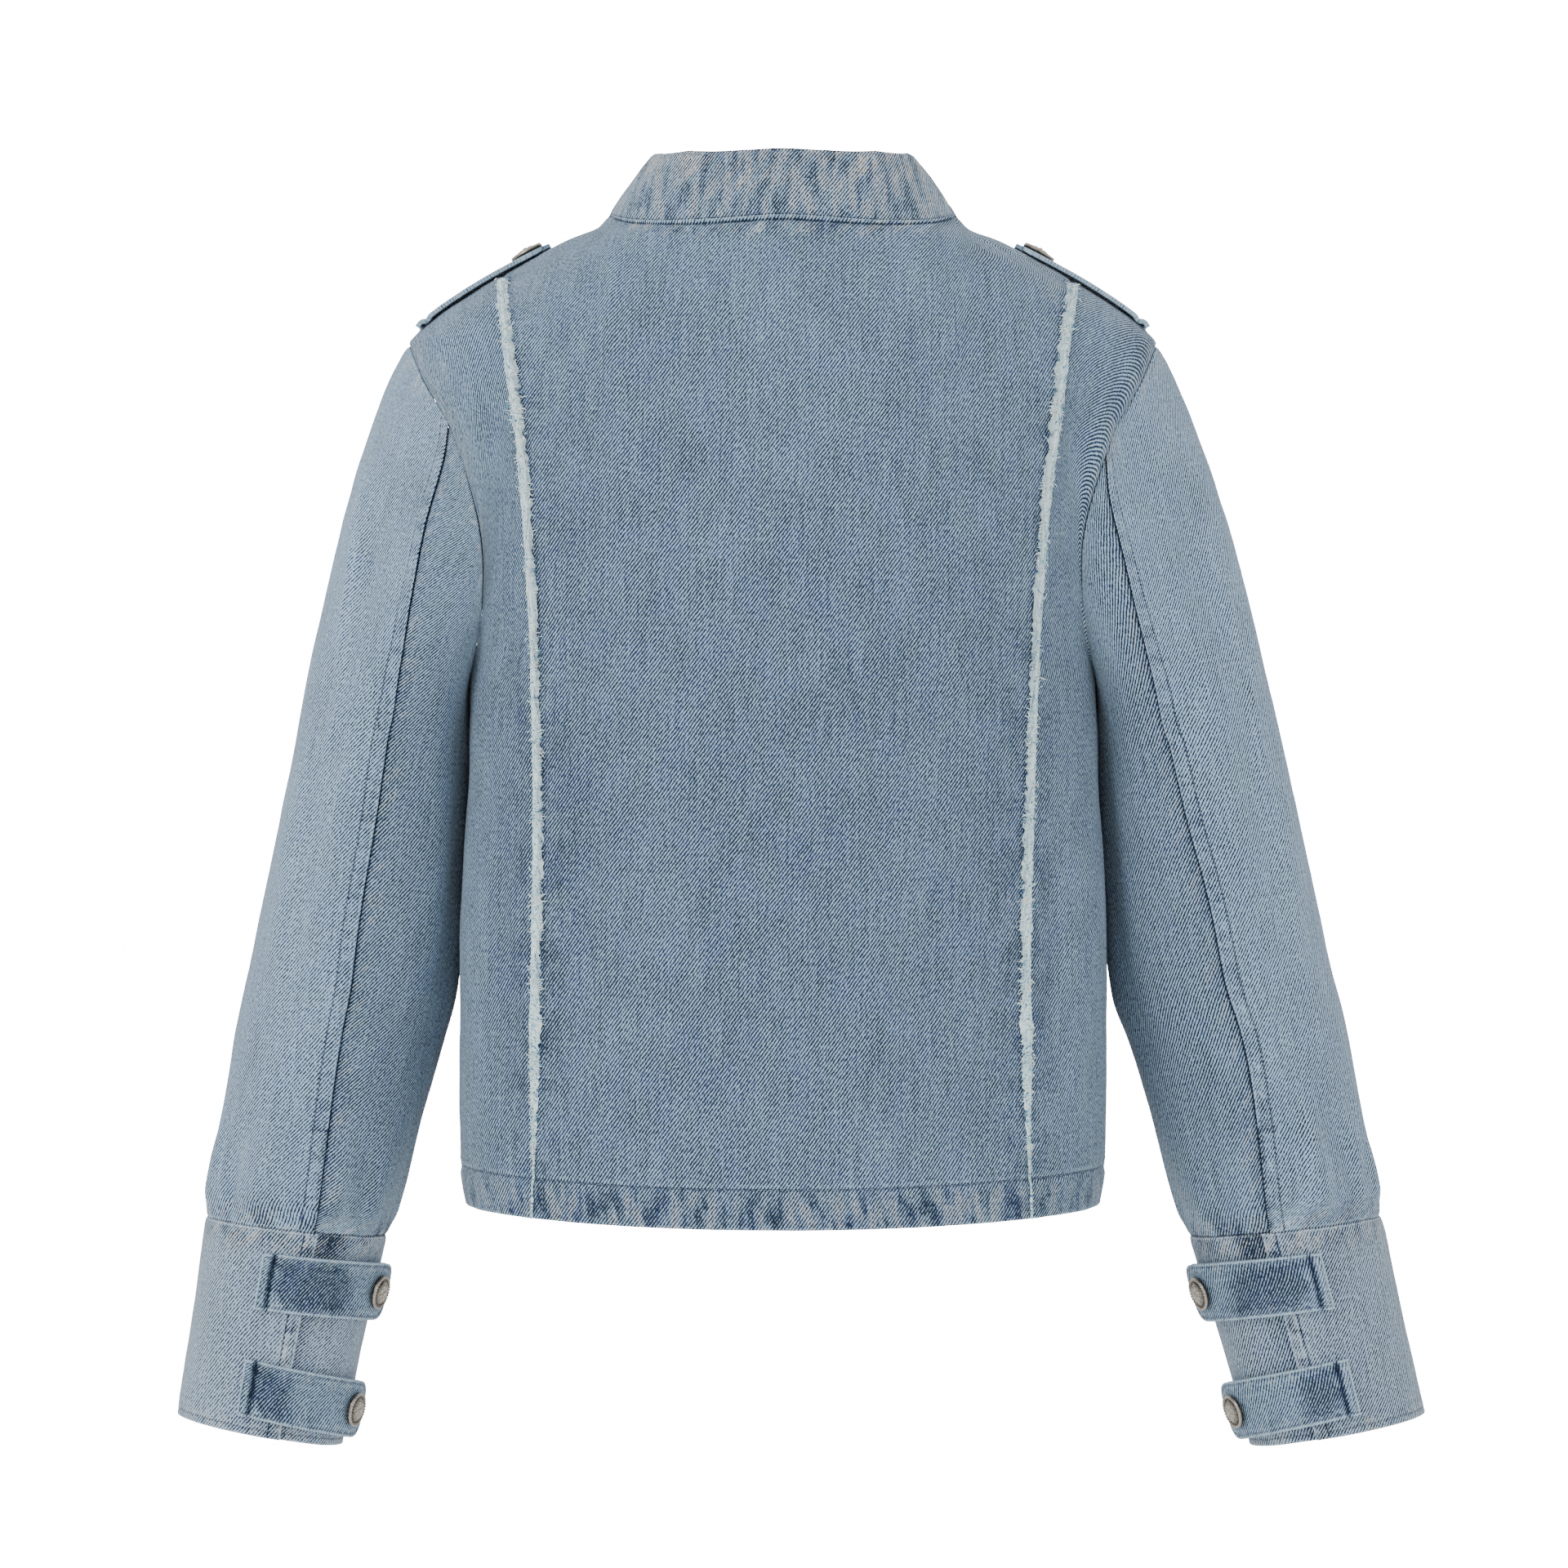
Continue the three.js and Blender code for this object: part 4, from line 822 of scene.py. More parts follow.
for rope, strength, up, down in (
        (pucker, "Fray Pucker", 0.1, -0.24),
        (hemRope, "Hem Roping", 0.2, -0.56),
        (seamRope, "Seam Roping", 0.24, -0.22)):
    lit = calc(washTree, "MULTIPLY", rope["Light"], given[strength])
    tone = addShare(washTree, lit, up, tone)
    tone = addShare(washTree, calc(washTree, "MULTIPLY", rope["Dark"], given[strength]), down, tone)
    swellHeight = addShare(washTree, rope["Height"], given[strength], swellHeight)
    chalky = addShare(washTree, lit, 3 * up, chalky)


def lineAt(role, at, width):
    return placeGroup(washTree, ditchTree, {"Off": given[role], "At": at, "Width": width})["Mask"]


def rimOn(role, strength, width):
    rim = placeGroup(washTree, wearTree, {"Place": given["Place"], "Off": given[role], "Width": width})
    return calc(washTree, "MULTIPLY", rim["Mask"], given[strength])


tone = calc(washTree, "ADD", tone, rimOn("From Hem", "Hem Rim", 1.7))
tone = calc(washTree, "ADD", tone, rimOn("From Seam", "Seam Rim", 2.4))
core = calc(washTree, "MULTIPLY", ramp(washTree, given["From Seam"], 1.1, 0.5), given["Seam Core"])
tone = calc(washTree, "SUBTRACT", tone, core)
hemDitch = lineAt("From Hem", given["Ditch At"], 0.75)
hemRidge = lineAt("From Hem", calc(washTree, "ADD", given["Ditch At"], 2.0), 1.5)
frayDitch = calc(washTree, "MULTIPLY", lineAt("From Fray", frayStitch, 0.7), given["Fray Pucker"])
tone = calc(washTree, "SUBTRACT", tone, calc(washTree, "MULTIPLY", hemDitch, given["Ditch Dark"]))
lapRow = lineAt("From Lap", given["Lap Width"], 0.8)
tone = addShare(washTree, lapRow, -1.2, tone)
lapSide = lineAt("From Lap", calc(washTree, "ADD", given["Lap Width"], 1.8), 1.6)
tone = addShare(washTree, calc(washTree, "MULTIPLY", lapSide, broken), 0.16, tone)
lapRope = placeGroup(washTree, ropingTree, {
    "Along": parts.outputs[1], "Off": given["From Lap"], "Size": 7.0, "Slant": 0.1, "Reach": 10.0})
tone = addShare(washTree, lapRope["Light"], 0.2, addShare(washTree, lapRope["Dark"], -0.3, tone))
tone = addShare(washTree, ramp(washTree, given["From Lap"], 1.3, 0.8), 0.4, tone)
tone = addShare(washTree, calc(washTree, "MULTIPLY", hemRidge, broken), 0.28, tone)
tone = addShare(washTree, frayDitch, -0.2, tone)
pipe = calc(washTree, "MULTIPLY", ramp(washTree, given["From Seam"], 3.1, 2.5), given["Piping"])
tone = addShare(washTree, pipe, 0.3, tone)
pipeLine = calc(washTree, "MULTIPLY", lineAt("From Seam", 3.6, 0.8), given["Piping"])
tone = addShare(washTree, pipeLine, -0.75, tone)
hue = ramp(washTree, noise(washTree, stretched(washTree, given["Place"], 17, 26, 8.0), 1.0, 3.0), 0.4, 0.62)
unfaded = blendColour(washTree, hue, given["Deep"], given["Bluer"])
colour = blendColour(washTree, tone, unfaded, given["Faded"])
warmer = blendColour(washTree, tone, given["Deep"], given["Chalk"])
colour = blendColour(washTree, chalky, colour, warmer)
deepDyeAndShade = ramp(washTree, tone, -0.75, 0.05, 0.1, 1.0)  # the lowest tones go near black: unfaded dye along seams, stitch rows and roping, and painted shade in slits, fold valleys and under laps
colour = blendColour(washTree, deepDyeAndShade, (0.002, 0.005, 0.012, 1), colour)
washTree.links.new(colour, result["Colour"])
sunk = calc(washTree, "ADD", calc(washTree, "ADD", hemDitch, frayDitch), pipeLine)
height = calc(washTree, "ADD", grain["Height"], swellHeight)
washTree.links.new(addShare(washTree, sunk, -0.3, height), result["Height"])


def newMaterial(name):
    material = bpy.data.materials.new(name)
    material.use_nodes = True
    return material, material.node_tree, material.node_tree.nodes["Principled BSDF"]


def clothPlace(tree):  # the place along the cloth in millimetres
    uv = addNode(tree, "UVMap", uv_map="cloth")
    scaled = addNode(tree, "VectorMath", {0: uv.outputs[0], 1: (1000, 1000, 1000)}, operation="MULTIPLY")
    return scaled.outputs[0]


def setSurface(tree, shader, colour, height, strength, distance, settings):
    bump = addNode(tree, "Bump", {"Height": height, "Strength": strength, "Distance": distance})
    setInputs(tree, shader, {"Base Color": colour, "Normal": bump.outputs[0], **settings})


def clothMaterial(name, **values):
    material, tree, shader = newMaterial(name)
    distances = {
        "From " + role: addNode(tree, "Attribute", attribute_name="from" + role).outputs["Fac"]
        for role in ("Fray", "Hem", "Seam", "Lap")}
    distances["Wash And Shade"] = addNode(tree, "Attribute", attribute_name="washAndShade").outputs["Fac"]
    washAndShade = placeGroup(tree, washTree, {"Place": clothPlace(tree), **distances, **values})
    setSurface(tree, shader, washAndShade["Colour"], washAndShade["Height"], 1.0, 0.001, {
        "Roughness": 0.86, "Specular IOR Level": 0.25, "Sheen Weight": 0.12, "Sheen Roughness": 0.5})
    return material


backDenim = clothMaterial("backDenim", **{
    "Base": 0.25, "Piping": 1.0, "Seam Reach": 16.0, "Seam Roping": 0.8, "Fray Pucker": 0.4})
sideDenim = clothMaterial("sideDenim", **{
    "Base": 0.21, "Fray Pucker": 0.15, "Hem Roping": 0.6, "Seam Roping": 0.5})
frontDenim = clothMaterial("frontDenim", **{"Hem Roping": 0.8, "Piping": 1.0})
bandDenim = clothMaterial("bandDenim", **{"Seam Core": 0.0, "Seam Rim": 0.4, "Seam Roping": 0.7})
sleeveDenim = clothMaterial("sleeveDenim", **{
    "Base": 0.56, "Grain": 0.7, "Hem Roping": 0.0, "Seam Reach": 14.0, "Seam Roping": 0.6,
    "Seam Rim": 0.45, "Seam Core": 0.5, "Faded": (0.38, 0.53, 0.67, 1)})
underDenim = clothMaterial("underDenim", **{
    "Base": 0.34, "Grain": 0.6, "Hem Roping": 0.0, "Seam Reach": 14.0, "Seam Roping": 0.5,
    "Seam Core": 0.9, "Seam Rim": 0.1})
collarDenim = clothMaterial("collarDenim", **{
    "Base": 0.42, "Grain": 0.7, "Hem Roping": 1.0, "Hem Reach": 90.0, "Hem Size": 6.0, "Hem Slant": 0.06,
    "Ditch At": -9.0, "Clouds": 0.5, "Hem Rim": 0.0, "Seam Roping": 0.8, "Seam Reach": 30.0,
    "Seam Core": 0.9})
cuffDenim = clothMaterial("cuffDenim", **{
    "Base": 0.6, "Grain": 0.65, "Hem Roping": 0.5, "Hem Reach": 12.0, "Ditch At": 4.0, "Ditch Dark": 0.3,
    "Hem Rim": 0.45, "Seam Roping": 0.9, "Seam Reach": 16.0, "Seam Rim": 0.8, "Lap Width": 7.6,
    "Faded": (0.41, 0.52, 0.61, 1)})
strapDenim = clothMaterial("strapDenim", **{
    "Base": 0.5, "Clouds": 0.5, "Hem Roping": 0.4, "Hem Reach": 9.0, "Ditch At": 1.9, "Ditch Dark": 0.1,
    "Hem Rim": 0.75})
print("materials ready")


# Cloth pieces
def plainRelief(cloth):
    return 0 * cloth["across"]


# Paler and darker places of the wash as seen from behind: x, z, half width, half height, how much paler
bodyWash = [
    (0, -40, 150, 70, 0.07), (170, -70, 40, 40, 0.1), (-170, -70, 40, 40, 0.08),
    (0, -330, 120, 60, -0.05), (145, -340, 16, 150, -0.08), (-150, -400, 9, 140, 0.15),
    (60, -420, 20, 90, 0.03), (-40, -250, 24, 90, -0.02), (112, -250, 16, 200, -0.09),
    (-112, -250, 16, 200, -0.07), (190, -130, 14, 40, 0.08), (-188, -128, 14, 40, 0.06),
    (0, -500, 130, 25, 0.03),
]
sleeveWash = {
    1: [(232, -180, 26, 110, 0.14), (262, -400, 20, 130, 0.16), (216, -300, 12, 60, -0.06),
        (300, -520, 30, 40, 0.06), (236, -540, 20, 16, 0.06), (205, -110, 14, 22, 0.1),
        (196, -150, 12, 22, -0.12)],
    -1: [(-236, -180, 26, 110, 0.06), (-268, -400, 20, 130, 0.06), (-220, -300, 12, 60, -0.05),
         (-310, -510, 16, 44, -0.06), (-262, -536, 20, 16, 0.08), (-205, -110, 14, 22, 0.1),
         (-196, -150, 12, 22, -0.1)],
}


def washOf(cloth, places, creases):
    x, z = cloth["at"][..., 0], cloth["at"][..., 2]
    ragged = 1 + 0.35 * softNoise(cloth["across"] / 9, cloth["along"] / 14, 61)
    # paler on crease ridges, as wear, and darker in crease troughs: painted shade
    paler = 0.06 * creaseLift(cloth["at"], cloth["out"], creases)
    for placeX, placeZ, wide, high, amount in places:
        near = np.hypot((x - placeX) / wide, (z - placeZ) / high) * ragged
        paler += amount * np.exp(-near ** 2)
    return paler


fraying = {"topGap": 7, "high": 1.4, "tufts": 2700, "long": 60, "seed": 5}
frayWidth = table("z half", [
    (0, 3.3), (-60, 3.2), (-150, 2.8), (-250, 2.5), (-360, 2.7), (-440, 2.9), (-475, 2.1), (-497, 1.2),
    (-520, 0.6), (-548, 0.6)])


def bodyRelief(cloth):
    lift = creaseLift(cloth["at"], cloth["out"], bodyCreases)
    puckered = bell(cloth["fray"] - 9, 7) * smoothStep(-60, -200, cloth["at"][..., 2])
    lift = lift + 0.45 * puckered * softNoise(cloth["fray"] / 9, cloth["along"] / 6, 31)
    hemBand = bell(cloth["hem"] - 20, 6) * 0.35 + smoothStep(23, 16, cloth["hem"]) * 0.3
    lift = lift + hemBand * softNoise(cloth["across"] / 6 + cloth["hem"] / 18, cloth["hem"] / 22, 32)
    return lift - 0.5 * bell(cloth["hem"] - hemStitch, 1.4) + 0.3 * bell(cloth["hem"] - 24, 1.6)


def neckRoll(cloth):  # the rolled piping under the collar
    top = cloth["reach"]["top"]
    onNeck = smoothStep(97, 93, np.abs(cloth["at"][..., 0]))
    lift = bodyRelief(cloth) + onNeck * (1.3 * bell(top - 1.6, 1.5) - 0.5 * bell(top - 3.9, 1.0))
    return lift + onNeck * 0.3 * bell(top - 9, 5) * softNoise(cloth["across"] / 5, top / 12, 33)


def sleeveRelief(side, under):
    lapEdge = "left" if under else "right"

    def relief(cloth):
        lift = creaseLift(cloth["at"], cloth["out"], sleeveCreases[side])
        lap = cloth["reach"][lapEdge]
        if not under:  # the upper sleeve laps over, sewn down with two rows
            lift = lift + 0.9 * smoothStep(9.5, 7.5, lap) * smoothStep(-0.2, 0.4, lap)
            lift = lift + 0.3 * bell(lap - 0.8, 0.8) - 0.3 * bell(lap - 2.0, 0.7)
            lift = lift - 0.5 * bell(lap - lapStitch, 0.8)
            lift = lift + 0.3 * bell(lap - 4.8, 3) * softNoise(lap / 6, cloth["along"] / 5, 34)
        else:
            lift = lift - 0.5 * bell(lap - 1.5, 1.8)
        cuffEnd = cloth["reach"]["bottom"]
        gathers = softNoise(cloth["across"] / 5.5 + cuffEnd / 30, cuffEnd / 34, 35)
        return lift + gathers * (0.9 * bell(cuffEnd - 9, 9) + 0.3 * bell(cloth["reach"]["top"] - 6, 6))
    return relief


def cuffRelief(cloth):  # the seam at its top, and the stitched end that lies on top
    top, end = cloth["reach"]["top"], cloth["reach"]["left"]
    lift = -0.35 * bell(top - 1.9, 0.9) - 0.35 * bell(end - 8, 0.9)
    lift = lift - 0.3 * bell(cloth["reach"]["bottom"] - 4, 0.9)
    return lift + 0.3 * bell(end - 4, 3) * softNoise(cloth["along"] / 5, end / 8, 36)


def strapRelief(cloth):  # a welt all round, and the folded base that is sewn down
    base = cloth["reach"]["left"]
    edge = np.minimum.reduce([cloth["reach"][name] for name in ("top", "bottom", "right")])
    lift = 0.25 * bell(edge - 0.6, 0.9) - 0.35 * bell(edge - 1.9, 0.8)
    return lift - 1.2 * bell(base - 7, 1.5) + 0.7 * bell(base - 3, 2.6)


def collarRelief(cloth):
    top, foot = cloth["reach"]["top"], cloth["reach"]["bottom"]
    lift = -0.3 * bell(top - 2.3, 0.9) - 0.3 * bell(foot - 1.6, 0.8)
    ripple = softNoise(cloth["across"] / 5.5 + foot / 25, foot / 26, 37)
    return lift + ripple * (0.22 + 0.2 * bell(top - 5, 6) + 0.2 * bell(foot - 5, 6))


# Where the dark patch starts and ends along a strap
strapPatches = {"upper": (-37, 6), "lower": (-38, -20)}


def strapWash(level):
    start, end = strapPatches[level]

    def washAndShade(cloth):
        slant = 0.35 * (cloth["along"] - 15)
        run = cloth["across"] + slant + 5 * softNoise(cloth["across"] / 7, cloth["along"] / 7, 62)
        patch = smoothStep(start - 2, start + 3, run) * smoothStep(end + 9, end - 7, run)
        inside = smoothStep(1.5, 4, cloth["hem"])
        base = cloth["reach"]["left"]
        # darker in the valley beside the folded base: painted shade; a little paler on the fold itself
        return -0.6 * patch * inside - 1.2 * bell(base - 7, 1.6) + 0.1 * bell(base - 3, 2)
    return washAndShade


def cuffWash(side):
    def washAndShade(cloth):
        x, z = cloth["at"][..., 0], cloth["at"][..., 2]
        top, end = cloth["reach"]["top"], cloth["reach"]["left"]
        streaks = softNoise(cloth["across"] / 7, top / 12, 63 + side)
        tone = (0.14 if side > 0 else -0.02) - 0.5 * smoothStep(14, 4, top) * smoothStep(-0.1, 0.5, streaks)
        roping = softNoise(cloth["along"] / 3.2 + end / 9, end / 9, 67)
        tone = tone + bell(end - 4.5, 5) * (0.05 + 0.95 * roping)
        edgeX = np.interp(z.ravel(), z[:, 0], x[:, 0]).reshape(z.shape)
        beside = side * (edgeX - x)  # how far a place lies past the end, on the part beneath it
        beneath = (beside > 0) * (end > 60) * (cloth["out"][..., 1] > 0)
        # painted shadow that the cuff's overlapping end throws on the part beneath it, wider near the top
        shade = 0.5 * np.exp(-np.abs(beside) / 4) + 0.9 * smoothStep(24, 8, top) * bell(beside - 7, 7)
        return tone - beneath * shade
    return washAndShade


def sleeveTone(side, under):
    def washAndShade(cloth):
        tone = washOf(cloth, sleeveWash[side], sleeveCreases[side])
        cuffEnd = cloth["reach"]["bottom"]
        streaks = softNoise(cloth["across"] / 6 + cuffEnd / 20, cuffEnd / 20, 64 + side)
        tone = tone + bell(cuffEnd - 4, 12) * (0.04 + 0.7 * streaks)
        tone = tone + 0.1 * bell(cloth["reach"]["top"] - 2, 14)
        if not under:
            lap, run = cloth["reach"]["right"], cloth["along"]
            patches = smoothStep(0.1, 0.5, softNoise(lap / 14, run / 16, 65))
            tone = tone - 0.16 * patches * bell(lap - 6, 5)
            opening = smoothStep(62, 59, cuffEnd)  # below its bar tack the seam is the sleeve's slit
            # painted shadow: a dark line in the slit's opening below the bar tack
            tone = tone - 1.1 * opening * bell(lap - 0.4, 1.1)
            tone = tone - 0.9 * bell(cuffEnd - 60, 1.3) * smoothStep(10, 8, lap)
        else:
            lap = cloth["reach"]["left"]
            # painted shadow along the edge that lies under the upper sleeve's lap
            tone = tone - 0.5 * bell(lap - 0.6, 1.1) - 0.12 * bell(lap - 3, 3)
        return tone
    return washAndShade


def bodyTone(cloth):
    x, z = cloth["at"][..., 0], cloth["at"][..., 2]
    behind = cloth["at"][..., 1] > 0
    edge = cloth["fray"] - read(frayWidth, "half", z)
    inner = np.abs(x) < read(fraySeam, "left", z) + 1.5
    ragged = 1 + 0.5 * softNoise(cloth["along"] / 6, edge / 6, 66)
    # painted shadow: a ragged dark strip right beside the frayed band, strongest on the centre side, fading
    # out near the hem
    shade = np.where(inner, 0.34 * bell(edge - 0.6, 1.9), 0.1 * bell(edge, 1.5)) * smoothStep(-500, -440, z)
    patches = smoothStep(0.0, 0.6, softNoise(cloth["along"] / 9, edge / 14, 68)) * smoothStep(-180, -330, z)
    # painted highlight: a paler strip down the back along the side edges, where the body curves away, below
    # the shoulders
    rim = bell(np.abs(x) - read(torso, "half", z) + 1, 3.5) * smoothStep(-130, -190, z) * behind
    tone = washOf(cloth, bodyWash, bodyCreases) - shade * ragged - 0.2 * patches * bell(edge - 6, 7)
    return tone + 0.08 * rim


def backTone(cloth):  # puckers under the collar too
    top = cloth["reach"]["top"]
    onNeck = smoothStep(90, 70, np.abs(cloth["at"][..., 0])) * bell(top - 7, 6)
    return bodyTone(cloth) + onNeck * 0.4 * softNoise(cloth["across"] / 5, top / 9, 69)


def collarTone(cloth):
    top = cloth["reach"]["top"]
    ends = smoothStep(70, 92, np.abs(cloth["at"][..., 0]))
    # darker along the top edge, and along the foot as painted shadow where the collar meets the body
    return 0.12 * ends - 0.7 * bell(top - 0.3, 0.9) - 0.9 * bell(cloth["reach"]["bottom"] - 0.4, 1.2)


allEdges = ("left", "right", "top", "bottom")
pieces = {}
pieces["backCentre"] = clothSheet(
    "backCentre", "back_centre", 142, 220, backCentreShape, neckRoll, body["thick"], backDenim,
    {"fray": ("left", "right"), "hem": ("bottom",), "seam": ("top",)}, seed=1, washAndShade=backTone)
for side, name in sides:
    low = name.lower()
    pieces["backSide" + name] = clothSheet(
        "backSide" + name, "back_side_" + low, 40, 200, backSideShape(side), bodyRelief, body["thick"],
        sideDenim, {"fray": ("left",), "hem": ("bottom",), "seam": ("right",)}, seed=10 + side,
        lean=side, washAndShade=bodyTone)
    pieces["front" + name] = clothSheet(
        "front" + name, "front_" + low, 60, 130, frontShape(side), neckRoll, body["thick"],
        frontDenim, {"hem": ("bottom",), "seam": ("right", "top", "left")}, seed=20 + side, lean=-side,
        washAndShade=bodyTone)
    for part, under, material in (("Upper", False, sleeveDenim), ("Under", True, underDenim)):
        pieces["sleeve" + part + name] = clothSheet(
            "sleeve" + part + name, f"sleeve_{part.lower()}_{low}", 78, 180, sleeveShape(side, under),
            sleeveRelief(side, under), body["thick"], material,
            {"seam": allEdges if under else ("left", "top", "bottom"), "lap": () if under else ("right",)},
            pack=(0.75, 0.3), seed=30 + side + 5 * under, lean=-side, washAndShade=sleeveTone(side, under))
    pieces["cuff" + name] = clothSheet(
        "cuff" + name, "cuff_" + low, 120, 44, cuffShape(side), cuffRelief, cuff["thick"],
        cuffDenim, {"hem": ("bottom", "left"), "seam": ("top",), "lap": ("left",)}, seed=50 + side,
        lean=side, washAndShade=cuffWash(side))
    for level, strap in cuffStraps.items():
        key = "strap" + level.capitalize() + name
        pieces[key] = clothSheet(
            key, f"cuff_strap_{level}_{low}", 70, 24, strapShape(strap, side), strapRelief, cuff["thick"],
            strapDenim, {"hem": allEdges}, pack=(0.4, 0.7), seed=60 + side, lean=-side,
            washAndShade=strapWash(level))
    pieces["shoulderTab" + name] = clothSheet(
        "shoulderTab" + name, "shoulder_tab_" + low, 50, 28, tabShape(side), strapRelief, cuff["thick"],
        strapDenim, {"hem": allEdges}, pack=(0.4, 0.7), seed=70 + side)
pieces["collar"] = clothSheet(
    "standCollar", "collar", 200, 26, collarShape, collarRelief, cuff["thick"], collarDenim,
    {"hem": ("bottom",), "seam": ("top",)}, seed=80, washAndShade=collarTone)
pieces["frontBand"] = clothSheet(
    "frontBand", "front_band", 20, 150, frontBandShape, plainRelief, body["thick"], bandDenim,
    {"seam": ("left", "right"), "hem": ("bottom",)}, seed=90, lean=-1)
print("cloth ready")


# Thin round things laid along short curves: threads and stitches
def rodShape(corners):
    bm = bmesh.new()
    bmesh.ops.create_cone(bm, cap_ends=True, segments=corners, radius1=1, radius2=1, depth=1)
    bmesh.ops.translate(bm, verts=bm.verts, vec=(0, 0, 0.5))
    upright = [edge for edge in bm.edges if abs(edge.verts[0].co.z - edge.verts[1].co.z) > 0.5]
    bmesh.ops.subdivide_edges(bm, edges=upright, cuts=2)
    return bm


def fixNormals(mesh):
    bm = bmesh.new()
    bm.from_mesh(mesh)
    bmesh.ops.recalc_face_normals(bm, faces=bm.faces)
    bm.to_mesh(mesh)
    bm.free()


def bendRods(name, start, middle, end, radius, tint, corners, material, slotName):
    bm = rodShape(corners)
    shape = np.array([vertex.co[:] for vertex in bm.verts])
    count, base = len(start), len(shape)
    s = shape[:, 2][None, :, None]
    a, b, c = (points[:, None, :] for points in (start, middle, end))
    along = a * (1 - s) ** 2 + 2 * b * s * (1 - s) + c * s * s
    run = unit(2 * (b - a) * (1 - s) + 2 * (c - b) * s + 1e-6)
    sideways = unit(np.cross(run, np.array([0.31, 0.87, 0.38])))
    upwards = np.cross(run, sideways)
    taper = np.asarray(radius).reshape(-1, 1, 1) * (1 - 0.55 * (2 * s - 1) ** 4)
    places = along + taper * (sideways * shape[None, :, 0, None] + upwards * shape[None, :, 1, None])
    faces = [[vertex.index for vertex in face.verts] for face in bm.faces]
    bm.free()
    offsets = range(0, count * base, base)
    mesh = bpy.data.meshes.new(name)
    allFaces = [[index + offset for index in face] for offset in offsets for face in faces]
    mesh.from_pydata((places.reshape(-1, 3) * mm).tolist(), [], allFaces)
    values = np.repeat(np.asarray(tint, float), base)
    mesh.attributes.new("tint", "FLOAT", "POINT").data.foreach_set("value", values)
    piece = addPiece(name, mesh, material)
    fixNormals(mesh)
    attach(piece, "root")
    print(f"{name}: {count} laid")


def threadMaterial(name, colours, roughness):
    material, tree, shader = newMaterial(name)
    tint = addNode(tree, "Attribute", attribute_name="tint").outputs["Fac"]
    place = addNode(tree, "TexCoord").outputs["Object"]
    twist = noise(tree, place, 900.0, 2.0)
    share = calc(tree, "MULTIPLY_ADD", calc(tree, "SUBTRACT", twist, 0.5), 0.5, tint)
    chooser = addNode(tree, "ValToRGB", {0: share})
    steps = chooser.color_ramp.elements
    steps[0].color, steps[1].color = colours[0], colours[-1]
    for number, colour in enumerate(colours[1:-1], 1):
        steps.new(number / (len(colours) - 1)).color = colour
    setSurface(tree, shader, chooser.outputs[0], twist, 0.6, 0.0002, {
        "Roughness": roughness, "Sheen Weight": 0.5})
    return material


frayThread = threadMaterial("frayThread", [
    (0.01, 0.06, 0.14, 1), (0.14, 0.44, 0.64, 1), (0.62, 0.93, 1, 1), (0.78, 1, 1, 1), (0.95, 1, 0.98, 1),
], 0.95)
seamThread = threadMaterial("seamThread", [
    (0.04, 0.075, 0.15, 1), (0.1, 0.15, 0.24, 1), (0.22, 0.28, 0.33, 1),
], 0.7)


# The frayed seams: raw edges standing on the seam, tufts and loose threads, mostly towards the centre
def seamSpot(side, z, across=0.0):
    x = side * (read(fraySeam, sideNames[side], z) + across)
    at, out = bodySpot(angleAcross(x, z), z)
    return at + out * creaseLift(at, out, bodyCreases)[..., None], out


def frayBandShape(side):
    def shape(u, v):
        z = mix(body["hem"], frayTop[side] - fraying["topGap"], v)
        centre = 1 - u
        ragged = 0.45 * softNoise(z / 1.7, z / 9, 41) + 0.35 * softNoise(z / 4.6, z / 21, 42)
        half = read(frayWidth, "half", z) * (1 + np.where(centre > 0.5, 1.5, 0.35) * ragged * 0.6)
        at, out = seamSpot(side, z, mix(half, -half, centre))
        arch = np.sin(np.pi * np.clip(u, 0.02, 0.98)) ** 0.6
        lumps = 1.0 * softNoise(z / 2.3, u * 3 + z / 30, 43) + 0.6 * softNoise(z / 1.2, u * 7, 44)
        fuller = 0.55 + 0.45 * smoothStep(-548, -300, z)
        high = 0.35 + arch * fraying["high"] * fuller * (1 + 0.45 * lumps)
        return at + out * high[..., None], out
    return shape


